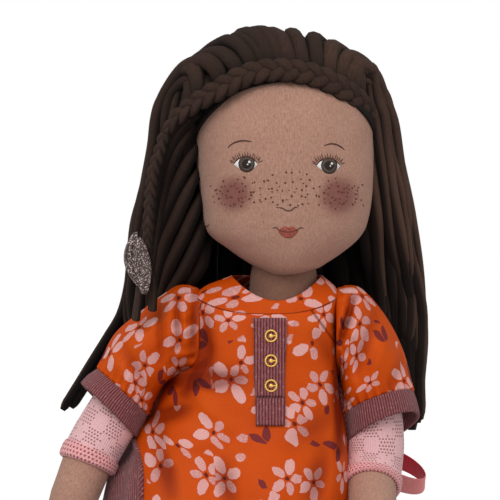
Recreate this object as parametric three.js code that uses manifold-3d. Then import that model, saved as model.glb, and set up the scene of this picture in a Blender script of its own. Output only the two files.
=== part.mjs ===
// A seated cloth rag doll, about 45 cm tall when it is laid out straight.
// Millimetres, +Z up. The doll faces -Y and its own left arm is on the +X side.
// The origin is the centre of the flat that it sits on.
import * as THREE from "three";
import { mergeVertices } from "three/addons/utils/BufferGeometryUtils.js";
import Module from "manifold-3d";

const wasm = await Module();
wasm.setup();

// Clearances
const TOUCH = 0.3; // between two pieces that touch
const RUN = 0.5; // round a ball that turns in its socket

// Stuffed trunk and knitted shorts
const TRUNK_HEIGHT = 134;
const TRUNK_HALF_WIDTH = 34.2;
const TRUNK_DEPTH = 24; // from the axis to the belly, and to the back
const SEAT_BACK = 10; // how much further the seat reaches back than the waist
const SHORTS_WALL = 1.5;
const SHORTS_HEIGHT = 46;

// Shoulders and arms
const SHOULDER_OUT = 46; // from the doll's middle to the shoulder's ball
const SHOULDER_HEIGHT = 119;
const ARM_RADIUS = 11.6;
const UPPER_ARM = 64; // shoulder to elbow
const FOREARM = 63.5; // elbow to the middle of the hand's round end
const FOREARM_RADIUS = 12.4;
const HAND_RADIUS = 9.4;
const ARM_FORWARD = 4; // degrees
const ARM_OUT = { right: 37, left: 11 }; // degrees from straight down
const FOREARM_OUT = { right: 22, left: -12 };
const FOREARM_FORWARD = { right: 10, left: 43.5 };
const UNDERSLEEVE_WALL = 1.2;
const UNDERSLEEVE_LENGTH = 17; // from the elbow to the end of the rolled hem
const ROLLED_HEM = 7.5;
const ROLLED_HEM_WALL = 2.3;

// Blouse
const CLOTH = 1.2;
const BLOUSE_SIDE = 37.6; // the flat side of the blouse beside the sleeve's head
const SLEEVE_HEAD = 22.3; // radius of the round seam between the sleeve and the blouse
const CUFF_WALL = 2;
const HEM_ABOVE_THIGH = 1.6;
const HEM_LEFT = 38.6; // hem's reach on the doll's left, where the arm holds it in
const HEM_RIGHT = 80; // and on its right, where it flares out under the raised arm
const HEM_FRONT = 52;
const HEM_BACK = 46;
const NECKLINE_HEIGHT = 146.7; // at its sides
const NECKLINE_DIP = 12.3; // its front below its sides
const NECKLINE_HALF_WIDTH = 23.2;
const NECKLINE_DEPTH = 22.5;
const NECKLINE_SHIFT = 4.4;
const NECK_BAND = 4.7;
const FOLD_DEPTH = 2.6;
const PIPING_RADIUS = 1.2;
const PLACKET_WIDTH = 17.2;
const PLACKET_LENGTH = 54.5;
const PLACKET_WALL = 1.5;
const BUTTON_RADIUS = 3.25;
const BUTTON_WIRE = 0.62;
const BUTTON_SPACING = 12.3;
const BUTTON_COUNT = 3;
const BUTTON_SHIFT = 1.3;

// Ribbon bow at the back
const RIBBON_WIDTH = 10;
const RIBBON_WALL = 1;
const BOW_HEIGHT = 60;
const BOW_REACH = 78;
const BOW_TAIL = 36;
const KNOT = 5;

// Neck, head and hair
const NECK_RADIUS = 17;
const NECK_SHIFT = 8; // the neck and head sit a little to the doll's left
const NECK_HEIGHT = 141; // the middle of the ball that the head nods on
const NECK_TOP = 166;
const CHIN_HEIGHT = 147.3;
const HEAD_TOP = 260.5;
const HEAD_HALF_WIDTH = 44.75;
const FACE_DEPTH = 41;
const SKULL_DEPTH = 42;
const HAIR_TOP = 271.7;
const HAIR_DEPTH = 12;
const SIDES_ROUND = 14; // facets round a limb
const STRAND_WIDTH = 8.5;
const HEADBAND_RADIUS = 5.5;
const SIDE_BRAID_RADIUS = 5.6;
const BRAID_FLATNESS = 0.8;
const TAIL_RADIUS = 2.4;
const LEAF_HEIGHT = 31;
const LEAF_WIDTH = 13;

// Legs and shoes
const HIP_RADIUS = 15.5;
const HIP_SPACING = 39;
const HIP_FORWARD = 26; // from the middle of the seat's flat to the hips
const LEG_SPLAY = 3; // degrees outwards, each leg
const THIGH = 92;
const SHIN = 86;
const KNEE_RADIUS = 14.2;
const ANKLE_RADIUS = 10.6;
const LEGGING_WALL = 1.2;
const LEGGING_LENGTH = 50; // below the knee
const FOOT_HEIGHT = 17; // ankle to sole
const FOOT_BACK = 12.6;
const FOOT_FRONT = 31;
const FOOT_HALF_WIDTH = 12;
const SHOE_WALL = 1.6;
const SOLE = 3;

const skin = new THREE.MeshStandardMaterial({ color: 0xa87a66, roughness: 0.95 });
const jersey = new THREE.MeshStandardMaterial({ color: 0x33231e, roughness: 0.95 });
const print = new THREE.MeshStandardMaterial({ color: 0xd04c07, roughness: 0.75 });
const plumKnit = new THREE.MeshStandardMaterial({ color: 0x7f4652, roughness: 0.95 });
const pinkKnit = new THREE.MeshStandardMaterial({ color: 0xe0a0a2, roughness: 0.95 });
const brass = new THREE.MeshStandardMaterial({ color: 0xd9a441, roughness: 0.35, metalness: 1 });
const ribbon = new THREE.MeshStandardMaterial({ color: 0xee8f8c, roughness: 0.6 });
const glitter = new THREE.MeshStandardMaterial({ color: 0x8b7a74, roughness: 0.5, metalness: 0.4 });
const suede = new THREE.MeshStandardMaterial({ color: 0x5d2f3a, roughness: 0.9 });
const rubber = new THREE.MeshStandardMaterial({ color: 0xd8c7b4, roughness: 0.8 });

const doll = new THREE.Group();
const SIDES = [[-1, "right"], [1, "left"]];
const rad = THREE.MathUtils.degToRad;
const V = (x, y, z) => new THREE.Vector3(x, y, z);
const mix = THREE.MathUtils.lerp;
const smooth = THREE.MathUtils.smoothstep;

// A named value read off a short list of [place, value, value...] rows, straight between rows.
function along(rows, place) {
  const last = rows.length - 1;
  if (place <= rows[0][0]) return rows[0].slice(1);
  if (place >= rows[last][0]) return rows[last].slice(1);
  const i = rows.findIndex((row) => row[0] > place) - 1;
  const share = (place - rows[i][0]) / (rows[i + 1][0] - rows[i][0]);
  return rows[i].slice(1).map((value, k) => mix(value, rows[i + 1][k + 1], share));
}

// A closed body through rings of points. A ring of one point is a tip; ring ends are filled with a fan,
// or, where the body is a closed loop, the last ring joins the first.
function loft(rings, closed = false) {
  const points = [];
  const faces = [];
  const starts = rings.map((ring) => {
    points.push(...ring);
    return points.length - ring.length;
  });
  for (let r = 0; r + (closed ? 0 : 1) < rings.length; r++) {
    const next = (r + 1) % rings.length;
    const [a, b] = [rings[r], rings[next]];
    const n = Math.max(a.length, b.length);
    for (let i = 0; i < n; i++) {
      const j = (i + 1) % n;
      const a0 = starts[r] + (a.length > 1 ? i : 0);
      const a1 = starts[r] + (a.length > 1 ? j : 0);
      const b0 = starts[next] + (b.length > 1 ? i : 0);
      const b1 = starts[next] + (b.length > 1 ? j : 0);
      if (b0 !== b1) faces.push([a0, b0, b1]);
      if (a0 !== a1) faces.push([a0, b1, a1]);
    }
  }
  for (const [r, turned] of closed ? [] : [[0, true], [rings.length - 1, false]]) {
    const ring = rings[r];
    if (ring.length < 2) continue;
    const middle = ring.reduce((sum, p) => sum.add(p), V(0, 0, 0)).divideScalar(ring.length);
    points.push(middle);
    ring.forEach((p, i) => {
      const edge = [starts[r] + i, starts[r] + ((i + 1) % ring.length)];
      faces.push(turned ? [points.length - 1, edge[0], edge[1]] : [points.length - 1, edge[1], edge[0]]);
    });
  }
  return geometryOf(points, faces);
}

// A geometry from points and faces, turned so that its faces point out.
function geometryOf(points, faces) {
  let volume = 0;
  for (const [a, b, c] of faces) volume += points[a].dot(V(0, 0, 0).crossVectors(points[b], points[c]));
  const index = volume < 0 ? faces.flatMap(([a, b, c]) => [a, c, b]) : faces.flat();
  const geometry = new THREE.BufferGeometry();
  geometry.setAttribute("position", new THREE.Float32BufferAttribute(points.flatMap((p) => p.toArray()), 3));
  geometry.setIndex(index);
  return geometry;
}

// A sheet with a wall: point(u, v, depth) for u and v from 0 to 1, depth 0 outside and 1 inside.
function sheet(point, across, down) {
  const points = [];
  const faces = [];
  const at = (i, j, k) => (k * (down + 1) + j) * (across + 1) + i;
  for (const k of [0, 1])
    for (let j = 0; j <= down; j++)
      for (let i = 0; i <= across; i++) points.push(point(i / across, j / down, k));
  const quad = (a, b, c, d) => faces.push([a, b, c], [a, c, d]);
  for (let j = 0; j < down; j++)
    for (let i = 0; i < across; i++) {
      quad(at(i, j, 0), at(i, j + 1, 0), at(i + 1, j + 1, 0), at(i + 1, j, 0));
      quad(at(i, j, 1), at(i + 1, j, 1), at(i + 1, j + 1, 1), at(i, j + 1, 1));
    }
  for (let i = 0; i < across; i++) {
    quad(at(i, 0, 0), at(i + 1, 0, 0), at(i + 1, 0, 1), at(i, 0, 1));
    quad(at(i, down, 0), at(i, down, 1), at(i + 1, down, 1), at(i + 1, down, 0));
  }
  for (let j = 0; j < down; j++) {
    quad(at(0, j, 0), at(0, j, 1), at(0, j + 1, 1), at(0, j + 1, 0));
    quad(at(across, j, 0), at(across, j + 1, 0), at(across, j + 1, 1), at(across, j, 1));
  }
  return geometryOf(points, faces);
}

// A closed tube of any section along a list of points.
function tube(path, radiusAt, sides, flatten = 1) {
  const rings = path.map((p, i) => {
    const ahead = path[Math.min(i + 1, path.length - 1)].clone().sub(path[Math.max(i - 1, 0)]).normalize();
    const side = Math.abs(ahead.y) > 0.9 ? V(1, 0, 0) : V(0, 1, 0);
    const x = side.clone().cross(ahead).normalize();
    const y = ahead.clone().cross(x);
    const radius = radiusAt(i / (path.length - 1));
    return around(sides, (a) =>
      p.clone().addScaledVector(x, radius * Math.cos(a)).addScaledVector(y, radius * flatten * Math.sin(a)));
  });
  return loft(rings);
}

const around = (n, point) => Array.from({ length: n }, (_, i) => point((2 * Math.PI * i) / n));

// A round-sectioned body down -Z from a ball at the origin: rows of [distance, radius].
function limb(rows, sides, tipRadius, flat = 1) {
  const ring = (z, r) => around(sides, (a) => V(r * Math.cos(a), r * flat * Math.sin(a), z));
  const ball = rows[0][1];
  const rings = [[V(0, 0, ball)]];
  for (const angle of [60, 28]) rings.push(ring(ball * Math.sin(rad(angle)), ball * Math.cos(rad(angle))));
  for (const [distance, radius] of rows) rings.push(ring(-distance, radius));
  if (tipRadius) {
    const [end, radius] = rows[rows.length - 1];
    for (const angle of [35, 65])
      rings.push(ring(-end - tipRadius * Math.sin(rad(angle)), radius * Math.cos(rad(angle))));
    rings.push([V(0, 0, -end - tipRadius)]);
  }
  return loft(rings);
}

// A profile of [radius, height] turned about the limb's own axis, facet for facet with the limbs.
const turned = (profile) =>
  new THREE.LatheGeometry(profile.map(([r, z]) => new THREE.Vector2(r, z)), SIDES_ROUND, Math.PI / 2)
    .rotateX(Math.PI / 2);

function solid(geometry) {
  const bare = new THREE.BufferGeometry();
  bare.setAttribute("position", geometry.getAttribute("position"));
  if (geometry.index) bare.setIndex(geometry.index);
  const merged = mergeVertices(bare, 1e-4);
  return new wasm.Manifold(
    new wasm.Mesh({
      numProp: 3,
      vertProperties: merged.attributes.position.array,
      triVerts: new Uint32Array(merged.index.array),
    }),
  );
}

function geometryFrom(made) {
  const mesh = made.getMesh();
  const geometry = new THREE.BufferGeometry();
  geometry.setAttribute("position", new THREE.BufferAttribute(mesh.vertProperties, 3));
  geometry.setIndex(new THREE.BufferAttribute(mesh.triVerts, 1));
  return geometry;
}

const moved = (geometry, matrix) => geometry.clone().applyMatrix4(matrix);
const box = (low, high) =>
  new THREE.BoxGeometry(high.x - low.x, high.y - low.y, high.z - low.z)
    .translate((high.x + low.x) / 2, (high.y + low.y) / 2, (high.z + low.z) / 2);
const ballAt = (centre, radius) => new THREE.SphereGeometry(radius, 16, 11).translate(centre.x, centre.y, centre.z);

// What is left of a geometry after the cutters are taken away from it.
const cut = (geometry, ...cutters) =>
  geometryFrom(cutters.reduce((left, cutter) => left.subtract(solid(cutter)), solid(geometry)));
const overlap = (a, b) => geometryFrom(solid(a).intersect(solid(b)));
const largest = (geometry) =>
  geometryFrom(solid(geometry).decompose().sort((a, b) => b.volume() - a.volume())[0]);
const join = (...parts) => geometryFrom(parts.map(solid).reduce((sum, next) => sum.add(next)));

function piece(parent, name, geometry, material) {
  const mesh = new THREE.Mesh(geometry, material);
  mesh.name = name;
  parent.add(mesh);
  return mesh;
}

// Trunk and knitted shorts
const hipZ = HIP_RADIUS;
const hipY = -HIP_FORWARD;
const trunkY = hipY + 10; // the trunk's axis lies a little behind the hips
const seatZ = SHORTS_WALL + TOUCH;
const round = (value, power) => Math.sign(value) * Math.abs(value) ** power;

// [height share, half width share, front share, back share, shift]
const TRUNK_ROWS = [
  [0, 0.9, 0.62, 0.7, 0], [0.035, 0.98, 0.9, 0.94, 0], [0.12, 1, 1, 1, 0], [0.3, 0.98, 1, 0.98, 0],
  [0.5, 0.96, 0.96, 0.94, 0], [0.75, 0.98, 0.9, 0.92, 0], [0.87, 1, 0.85, 0.9, 0],
  [0.95, 0.93, 0.76, 0.84, 0.5], [1, 0.7, 0.62, 0.66, 2.5],
];

function trunkShape(grow) {
  const rings = TRUNK_ROWS.map(([share, wide, front, back, shift]) => {
    const z = mix(seatZ - grow, TRUNK_HEIGHT, share);
    const seat = SEAT_BACK * (1 - smooth(share, 0.1, 0.55));
    return around(20, (a) => {
      const depth = Math.sin(a) < 0 ? front * TRUNK_DEPTH : back * TRUNK_DEPTH + seat;
      return V(
        shift + round(Math.cos(a), 0.8) * (wide * TRUNK_HALF_WIDTH + grow),
        trunkY + round(Math.sin(a), 0.8) * (depth + grow),
        z,
      );
    });
  });
  return loft(rings);
}

// The room that a leg needs as it swings from straight ahead to straight down.
function hipRoom(side) {
  const r = HIP_RADIUS + RUN;
  const reach = TRUNK_DEPTH + SEAT_BACK + HIP_RADIUS;
  const forward = new THREE.CylinderGeometry(r, r, reach, 16).translate(0, -reach / 2, 0);
  const down = new THREE.CylinderGeometry(r, r, reach, 16).rotateX(Math.PI / 2).translate(0, 0, -reach / 2);
  const between = box(V(-r, -reach, -reach), V(r, 0, 0));
  return join(ballAt(V(0, 0, 0), r), forward, down, between)
    .rotateZ(rad(side * LEG_SPLAY))
    .translate((side * HIP_SPACING) / 2, hipY, hipZ);
}

function neckShape(grow) {
  const r = NECK_RADIUS + grow;
  const ring = (z, radius) =>
    around(24, (a) => V(NECK_SHIFT + radius * Math.cos(a), neckY + radius * Math.sin(a), z));
  const low = [66, 44, 22].map((angle) =>
    ring(NECK_HEIGHT - r * Math.sin(rad(angle)), r * Math.cos(rad(angle))));
  return loft([[V(NECK_SHIFT, neckY, NECK_HEIGHT - r)], ...low, ring(NECK_HEIGHT, r), ring(NECK_HEIGHT + 6, r - 0.4),
    ring(mix(NECK_HEIGHT, NECK_TOP, 0.55), r - 2.2), ring(NECK_TOP + grow, r - 5)]);
}

const neckY = trunkY + 2;
const hipRooms = [hipRoom(-1), hipRoom(1)];
const shoulderSockets = SIDES.map(([side]) =>
  ballAt(V(side * SHOULDER_OUT, trunkY, SHOULDER_HEIGHT), ARM_RADIUS + RUN));
piece(doll, "trunk", cut(trunkShape(0), ...hipRooms, ...shoulderSockets, neckShape(RUN)), skin);
const belowWaist = box(V(-99, -99, -9), V(99, 99, SHORTS_HEIGHT));
const shorts = cut(overlap(trunkShape(SHORTS_WALL + TOUCH), belowWaist), trunkShape(TOUCH), ...hipRooms);
piece(doll, "knit_shorts", shorts, plumKnit);

// Blouse: one surface for all its panels, by the angle from the front and the height
const hemZ = 2 * HIP_RADIUS + HEM_ABOVE_THIGH;
const neckZ = NECKLINE_HEIGHT;
const armpitZ = SHOULDER_HEIGHT - SLEEVE_HEAD;
const upBlouse = (share) => mix(hemZ, armpitZ, share);
// [height, reach on the doll's left, on its right, front, back, shift, squareness]
const BLOUSE_ROWS = [
  [hemZ, HEM_LEFT, HEM_RIGHT, HEM_FRONT, HEM_BACK, 0, 0.85],
  [upBlouse(0.22), HEM_LEFT - 0.3, HEM_RIGHT - 7, 45, 41, 0, 0.8],
  [upBlouse(0.45), HEM_LEFT - 0.6, HEM_RIGHT - 18, 38, 36, 0, 0.75],
  [upBlouse(0.7), BLOUSE_SIDE + 0.1, HEM_RIGHT - 29.5, 33, 32, 0, 0.7],
  [upBlouse(0.88), BLOUSE_SIDE, BLOUSE_SIDE + 3.3, 31, 30, 0, 0.65],
  [armpitZ - 3, BLOUSE_SIDE, BLOUSE_SIDE, 30.4, 29.2, 0, 0.6],
  [SHOULDER_HEIGHT, BLOUSE_SIDE, BLOUSE_SIDE, 28.5, 28, 0, 0.6],
  [neckZ - 11, BLOUSE_SIDE, BLOUSE_SIDE, 26, 26, 0, 0.7],
  [neckZ - 5, BLOUSE_SIDE - 5, BLOUSE_SIDE - 5, 24.5, 24.5, 1, 0.9],
  [neckZ, NECKLINE_HALF_WIDTH, NECKLINE_HALF_WIDTH, NECKLINE_DEPTH, NECKLINE_DEPTH, NECKLINE_SHIFT, 1],
];

function blousePoint(angle, z, inside = 0) {
  const [left, right, front, back, shift, square] = along(BLOUSE_ROWS, z);
  const loose = 1 - smooth(z, hemZ + 8, armpitZ - 4);
  const held = smooth(Math.sin(angle), 0.25, 0.75); // the left arm holds the cloth still
  const fold = FOLD_DEPTH * loose * (1 - held) * (Math.sin(7 * angle + 0.6) + 0.5 * Math.sin(12 * angle + 2));
  const side = Math.sin(angle) > 0 ? left : right;
  const depth = Math.cos(angle) > 0 ? front : back;
  const dip = NECKLINE_DIP * Math.max(0, Math.cos(angle)) ** 2 * smooth(z, TRUNK_HEIGHT - 14, neckZ);
  return V(
    shift + round(Math.sin(angle), square) * (side - inside + fold * Math.abs(Math.sin(angle))),
    trunkY - round(Math.cos(angle), square) * (depth - inside + fold),
    z - dip,
  );
}

// The seams between the front, the side panels and the back, as angles; they close up under the arm
const panelGap = rad(1.6);
const sideTop = upBlouse(0.8);
const bandZ = neckZ - NECK_BAND;
const closing = (z) => smooth(z, sideTop, armpitZ - 3);
const frontSeam = (z) => rad(mix(54, 89, closing(z)));
const backSeam = (z) => rad(mix(126, 91, closing(z)));
const SIDE_LEVELS = [sideTop, upBlouse(0.62), upBlouse(0.45), upBlouse(0.3), upBlouse(0.15), hemZ];
const LEVELS = [bandZ - TOUCH, neckZ - 8, neckZ - 11, SHOULDER_HEIGHT, armpitZ - 3, ...SIDE_LEVELS];

function panel(from, to, levels, across) {
  return sheet((u, v, k) => {
    const z = levels[Math.round(v * (levels.length - 1))];
    return blousePoint(mix(from(z), to(z), u), z, k * CLOTH);
  }, across, levels.length - 1);
}

const armHoles = SIDES.map(([side]) => new THREE.CylinderGeometry(SLEEVE_HEAD - 2, SLEEVE_HEAD - 2, 30, 18)
  .rotateZ(Math.PI / 2).translate(side * SHOULDER_OUT, trunkY, SHOULDER_HEIGHT));
const front = panel((z) => -frontSeam(z) + panelGap, (z) => frontSeam(z) - panelGap, LEVELS, 20);
piece(doll, "blouse_front", cut(front, ...armHoles), print);
const back = panel(backSeam, (z) => 2 * Math.PI - backSeam(z), LEVELS, 16);
piece(doll, "blouse_back", cut(back, ...armHoles), plumKnit);
for (const [side, name] of SIDES) {
  const from = (z) => side * (frontSeam(z) + panelGap);
  const to = (z) => side * (backSeam(z) - panelGap);
  piece(doll, `side_panel_${name}`, panel(from, to, [sideTop - 1, ...SIDE_LEVELS.slice(1)], 8), plumKnit);
}
const ring = (z, k) => around(24, (a) => blousePoint(a, z, k * CLOTH));
const bandRows = [bandZ, mix(bandZ, neckZ, 0.5), neckZ];
const neckBand = loft([...bandRows.map((z) => ring(z, 0)), ...bandRows.reverse().map((z) => ring(z, 1))], true);
piece(doll, "neck_band", neckBand, print);

// Piping rolled into the front seams
for (const [side, name] of SIDES) {
  const path = Array.from({ length: 9 }, (_, i) => {
    const z = mix(hemZ, sideTop - 1, i / 8);
    return blousePoint(side * frontSeam(z), z, -PIPING_RADIUS - 0.35);
  });
  piece(doll, `piping_${name}`, tube(path, () => PIPING_RADIUS, 6), plumKnit);
}

// Placket and its brass buttons, on the blouse's front
const placketTop = SHOULDER_HEIGHT + 6.5;
function frontAt(x, z, out) {
  const [left, right, , , shift, square] = along(BLOUSE_ROWS, z);
  const share = Math.abs((x - shift) / (x > shift ? left : right));
  const angle = Math.asin(share ** (1 / square)) * Math.sign(x - shift);
  return V(x, blousePoint(angle, z).y - out, z);
}
const placket = sheet((u, v, k) => {
  const z = placketTop - v * PLACKET_LENGTH;
  return frontAt((u - 0.5) * PLACKET_WIDTH, z, 2 * TOUCH + (k ? 0 : PLACKET_WALL));
}, 4, 7);
piece(doll, "placket", placket, plumKnit);
for (let i = 0; i < BUTTON_COUNT; i++) {
  const z = placketTop - 8 - i * BUTTON_SPACING;
  const wire = BUTTON_RADIUS - BUTTON_WIRE;
  const hoop = new THREE.TorusGeometry(wire, BUTTON_WIRE, 5, 14).rotateX(Math.PI / 2);
  const bar = new THREE.CylinderGeometry(0.35, 0.35, wire, 5).rotateZ(Math.PI / 2).translate(wire / 2, 0, 0);
  const stud = new THREE.SphereGeometry(0.62, 6, 4);
  const button = piece(doll, `button_${i + 1}`, join(hoop, bar, stud), brass);
  button.position.copy(frontAt(BUTTON_SHIFT, z, 3 * TOUCH + PLACKET_WALL + BUTTON_WIRE + 0.4));
}

// Ribbon bow at the back of the waist
const bowY = blousePoint(Math.PI, BOW_HEIGHT).y + 2 * TOUCH;
function ribbonAlong(path, lean = 0) {
  return sheet((u, v, k) => {
    const i = Math.round(u * (path.length - 1));
    const ahead = path[Math.min(i + 1, path.length - 1)].clone().sub(path[Math.max(i - 1, 0)]).normalize();
    const wide = lean ? V(1, 0, 0) : V(0, 0, 1);
    const out = ahead.clone().cross(wide).normalize();
    return path[i].clone()
      .addScaledVector(out, (k - 0.5) * RIBBON_WALL)
      .addScaledVector(wide, (0.5 - v) * RIBBON_WIDTH);
  }, path.length - 1, 1);
}
for (const [side, name] of SIDES) {
  const loop = Array.from({ length: 15 }, (_, i) => {
    const t = i / 14;
    const out = Math.sin(Math.PI * t);
    return V(
      side * (KNOT + TOUCH + (BOW_REACH - KNOT) * out ** 0.85),
      bowY + KNOT + (6 * out ** 0.7 + 0.95) * -Math.cos(Math.PI * t) + 4.5 * out,
      BOW_HEIGHT - 16 * out ** 1.4,
    );
  });
  piece(doll, `bow_loop_${name}`, ribbonAlong(loop), ribbon);
  const tail = Array.from({ length: 9 }, (_, i) => {
    const t = i / 8;
    return V(
      side * (RIBBON_WIDTH / 2 + 0.6 + 9 * t),
      bowY + KNOT + 3 * Math.sin(Math.PI * t) + 9 * t,
      BOW_HEIGHT - KNOT - TOUCH - BOW_TAIL * t,
    );
  });
  piece(doll, `bow_tail_${name}`, ribbonAlong(tail, 1), ribbon);
}
const knot = new THREE.SphereGeometry(KNOT, 10, 8).translate(0, bowY + KNOT, BOW_HEIGHT);
piece(doll, "bow_knot", knot, ribbon);

// Sleeves and cuffs, drawn by their outlines seen from the front
// [upper outline out, up, lower outline out, up, half depth, forward]
const SLEEVE_ROWS = {
  right: [[38, 141.3, 38, 96.7, SLEEVE_HEAD, 0], [51.5, 134, 43, 91.5, 21.6, 0.4], [62, 123.5, 49.5, 86, 21, 1.1],
    [74, 111.5, 55.5, 81.5, 20, 2], [85.6, 100.8, 60, 77.4, 17.4, 2.9]],
  left: [[38, 141.3, 38, 96.7, SLEEVE_HEAD, 0], [51, 134.5, 38.2, 92.5, 21.6, 0.4], [61.5, 120.5, 38.4, 88, 21, 1.1],
    [69.5, 104.5, 38.6, 82.5, 20, 2], [73.2, 89, 38.8, 77.6, 18.2, 2.9]],
};
const CUFF_ROWS = {
  right: [[85.9, 100.3, 60.3, 76.9, 17.6, 3], [90.5, 97.2, 63, 71.4, 18.8, 3.3], [94, 93.5, 65.6, 65.8, 19.9, 3.6]],
  left: [[73.4, 88.5, 39, 77.2, 18.3, 3], [75.2, 83, 39.5, 70.2, 19, 3.3], [76.5, 77, 40.2, 63, 19.6, 3.6]],
};

function hose(side, rows, wall) {
  const section = ([outHigh, high, outLow, low, depth, forward], inside) => {
    const middle = V((side * (outHigh + outLow)) / 2, trunkY - forward, (high + low) / 2);
    const up = V((side * (outHigh - outLow)) / 2, 0, (high - low) / 2);
    up.setLength(up.length() - inside);
    return around(18, (a) =>
      middle.clone().addScaledVector(up, Math.cos(a)).add(V(0, (depth - inside) * Math.sin(a), 0)));
  };
  const outer = rows.map((row) => section(row, 0));
  const inner = rows.map((row) => section(row, wall)).reverse();
  return loft([...outer, ...inner], true);
}

// Arms
function placed(parent, origin, forward, out, side) {
  const group = new THREE.Group();
  group.position.copy(origin);
  group.rotation.set(-rad(forward), -side * rad(out), 0, "YXZ");
  parent.add(group);
  return group;
}

for (const [side, name] of SIDES) {
  piece(doll, `sleeve_${name}`, hose(side, SLEEVE_ROWS[name], CLOTH), print);
  piece(doll, `cuff_${name}`, hose(side, CUFF_ROWS[name], CUFF_WALL), plumKnit);
  const shoulder = V(side * SHOULDER_OUT, trunkY, SHOULDER_HEIGHT);
  const arm = placed(doll, shoulder, ARM_FORWARD, ARM_OUT[name], side);
  const elbowBall = FOREARM_RADIUS + TOUCH + UNDERSLEEVE_WALL;
  const armEnd = UPPER_ARM - elbowBall - TOUCH;
  const armRows = [[0, ARM_RADIUS], [10, ARM_RADIUS - 1.6], [30, ARM_RADIUS - 1.4], [armEnd - 4, ARM_RADIUS - 0.6],
    [armEnd, ARM_RADIUS - 1.6]];
  piece(arm, `upper_arm_${name}`, limb(armRows, SIDES_ROUND), skin);

  const elbow = V(0, 0, -UPPER_ARM).applyEuler(arm.rotation).add(shoulder);
  const fore = placed(doll, elbow, FOREARM_FORWARD[name], FOREARM_OUT[name], side);
  const foreRows = (grow) => [
    [0, FOREARM_RADIUS + grow], [20, FOREARM_RADIUS + grow], [36, FOREARM_RADIUS - 0.6 + grow],
    [50, HAND_RADIUS - 0.2 + grow], [58, HAND_RADIUS + 0.6 + grow], [FOREARM, HAND_RADIUS + grow],
  ];
  const thumb = new THREE.SphereGeometry(3.6, 10, 7).scale(1, 1, 2).rotateX(-0.45)
    .translate(-side * 2, -HAND_RADIUS - 0.6, -FOREARM + 9);
  piece(fore, `forearm_${name}`, join(limb(foreRows(0), SIDES_ROUND, HAND_RADIUS), thumb), skin);
  const wide = FOREARM_RADIUS + TOUCH + UNDERSLEEVE_WALL;
  const hemFrom = UNDERSLEEVE_LENGTH - ROLLED_HEM;
  const under = limb([[0, wide], [hemFrom - TOUCH, wide]], SIDES_ROUND);
  piece(fore, `undersleeve_${name}`, cut(under, limb(foreRows(TOUCH), SIDES_ROUND, HAND_RADIUS)), pinkKnit);
  const rim = FOREARM_RADIUS + TOUCH;
  const hemProfile = [[rim, -hemFrom], [rim, -UNDERSLEEVE_LENGTH], [rim + 1.4, -UNDERSLEEVE_LENGTH],
    [rim + ROLLED_HEM_WALL, -UNDERSLEEVE_LENGTH + 1.6], [rim + ROLLED_HEM_WALL, -hemFrom - 1.2],
    [rim + 1.2, -hemFrom], [rim, -hemFrom]];
  piece(fore, `undersleeve_hem_${name}`, turned(hemProfile), pinkKnit);
}

// Legs and shoes, drawn standing and turned to lie straight ahead
const KNEE_CORE = KNEE_RADIUS - LEGGING_WALL - TOUCH;
const thighCore = HIP_RADIUS - 0.1 - LEGGING_WALL - TOUCH;
const thighEnd = THIGH - KNEE_RADIUS - TOUCH;
const leggingFrom = HIP_RADIUS + 9;
const shinRows = (grow) => [
  [0, KNEE_CORE + grow], [22, KNEE_CORE + 0.2 + grow], [LEGGING_LENGTH, KNEE_CORE - 1 + grow],
  [SHIN, ANKLE_RADIUS + grow],
];
// [height above the sole, half width share, front share, back share]
const FOOT_ROWS = [
  [0, 0.86, 0.9, 0.86], [2.2, 0.98, 0.98, 0.97], [6, 1, 1, 1], [10, 0.94, 0.86, 1], [14, 0.86, 0.6, 0.96],
  [19, 0.8, 0.34, 0.86],
];
function footShape(grow, low = 0) {
  return loft(FOOT_ROWS.map(([height, wide, ahead, behind], i) => around(SIDES_ROUND, (a) => V(
    round(Math.cos(a), 0.9) * (wide * FOOT_HALF_WIDTH + grow),
    Math.sin(a) < 0
      ? Math.sin(a) * (ahead * FOOT_FRONT + grow)
      : Math.sin(a) * (behind * FOOT_BACK + grow),
    -SHIN - FOOT_HEIGHT + height - (i === 0 ? low : 0) + (i === FOOT_ROWS.length - 1 ? grow : 0),
  ))));
}

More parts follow.
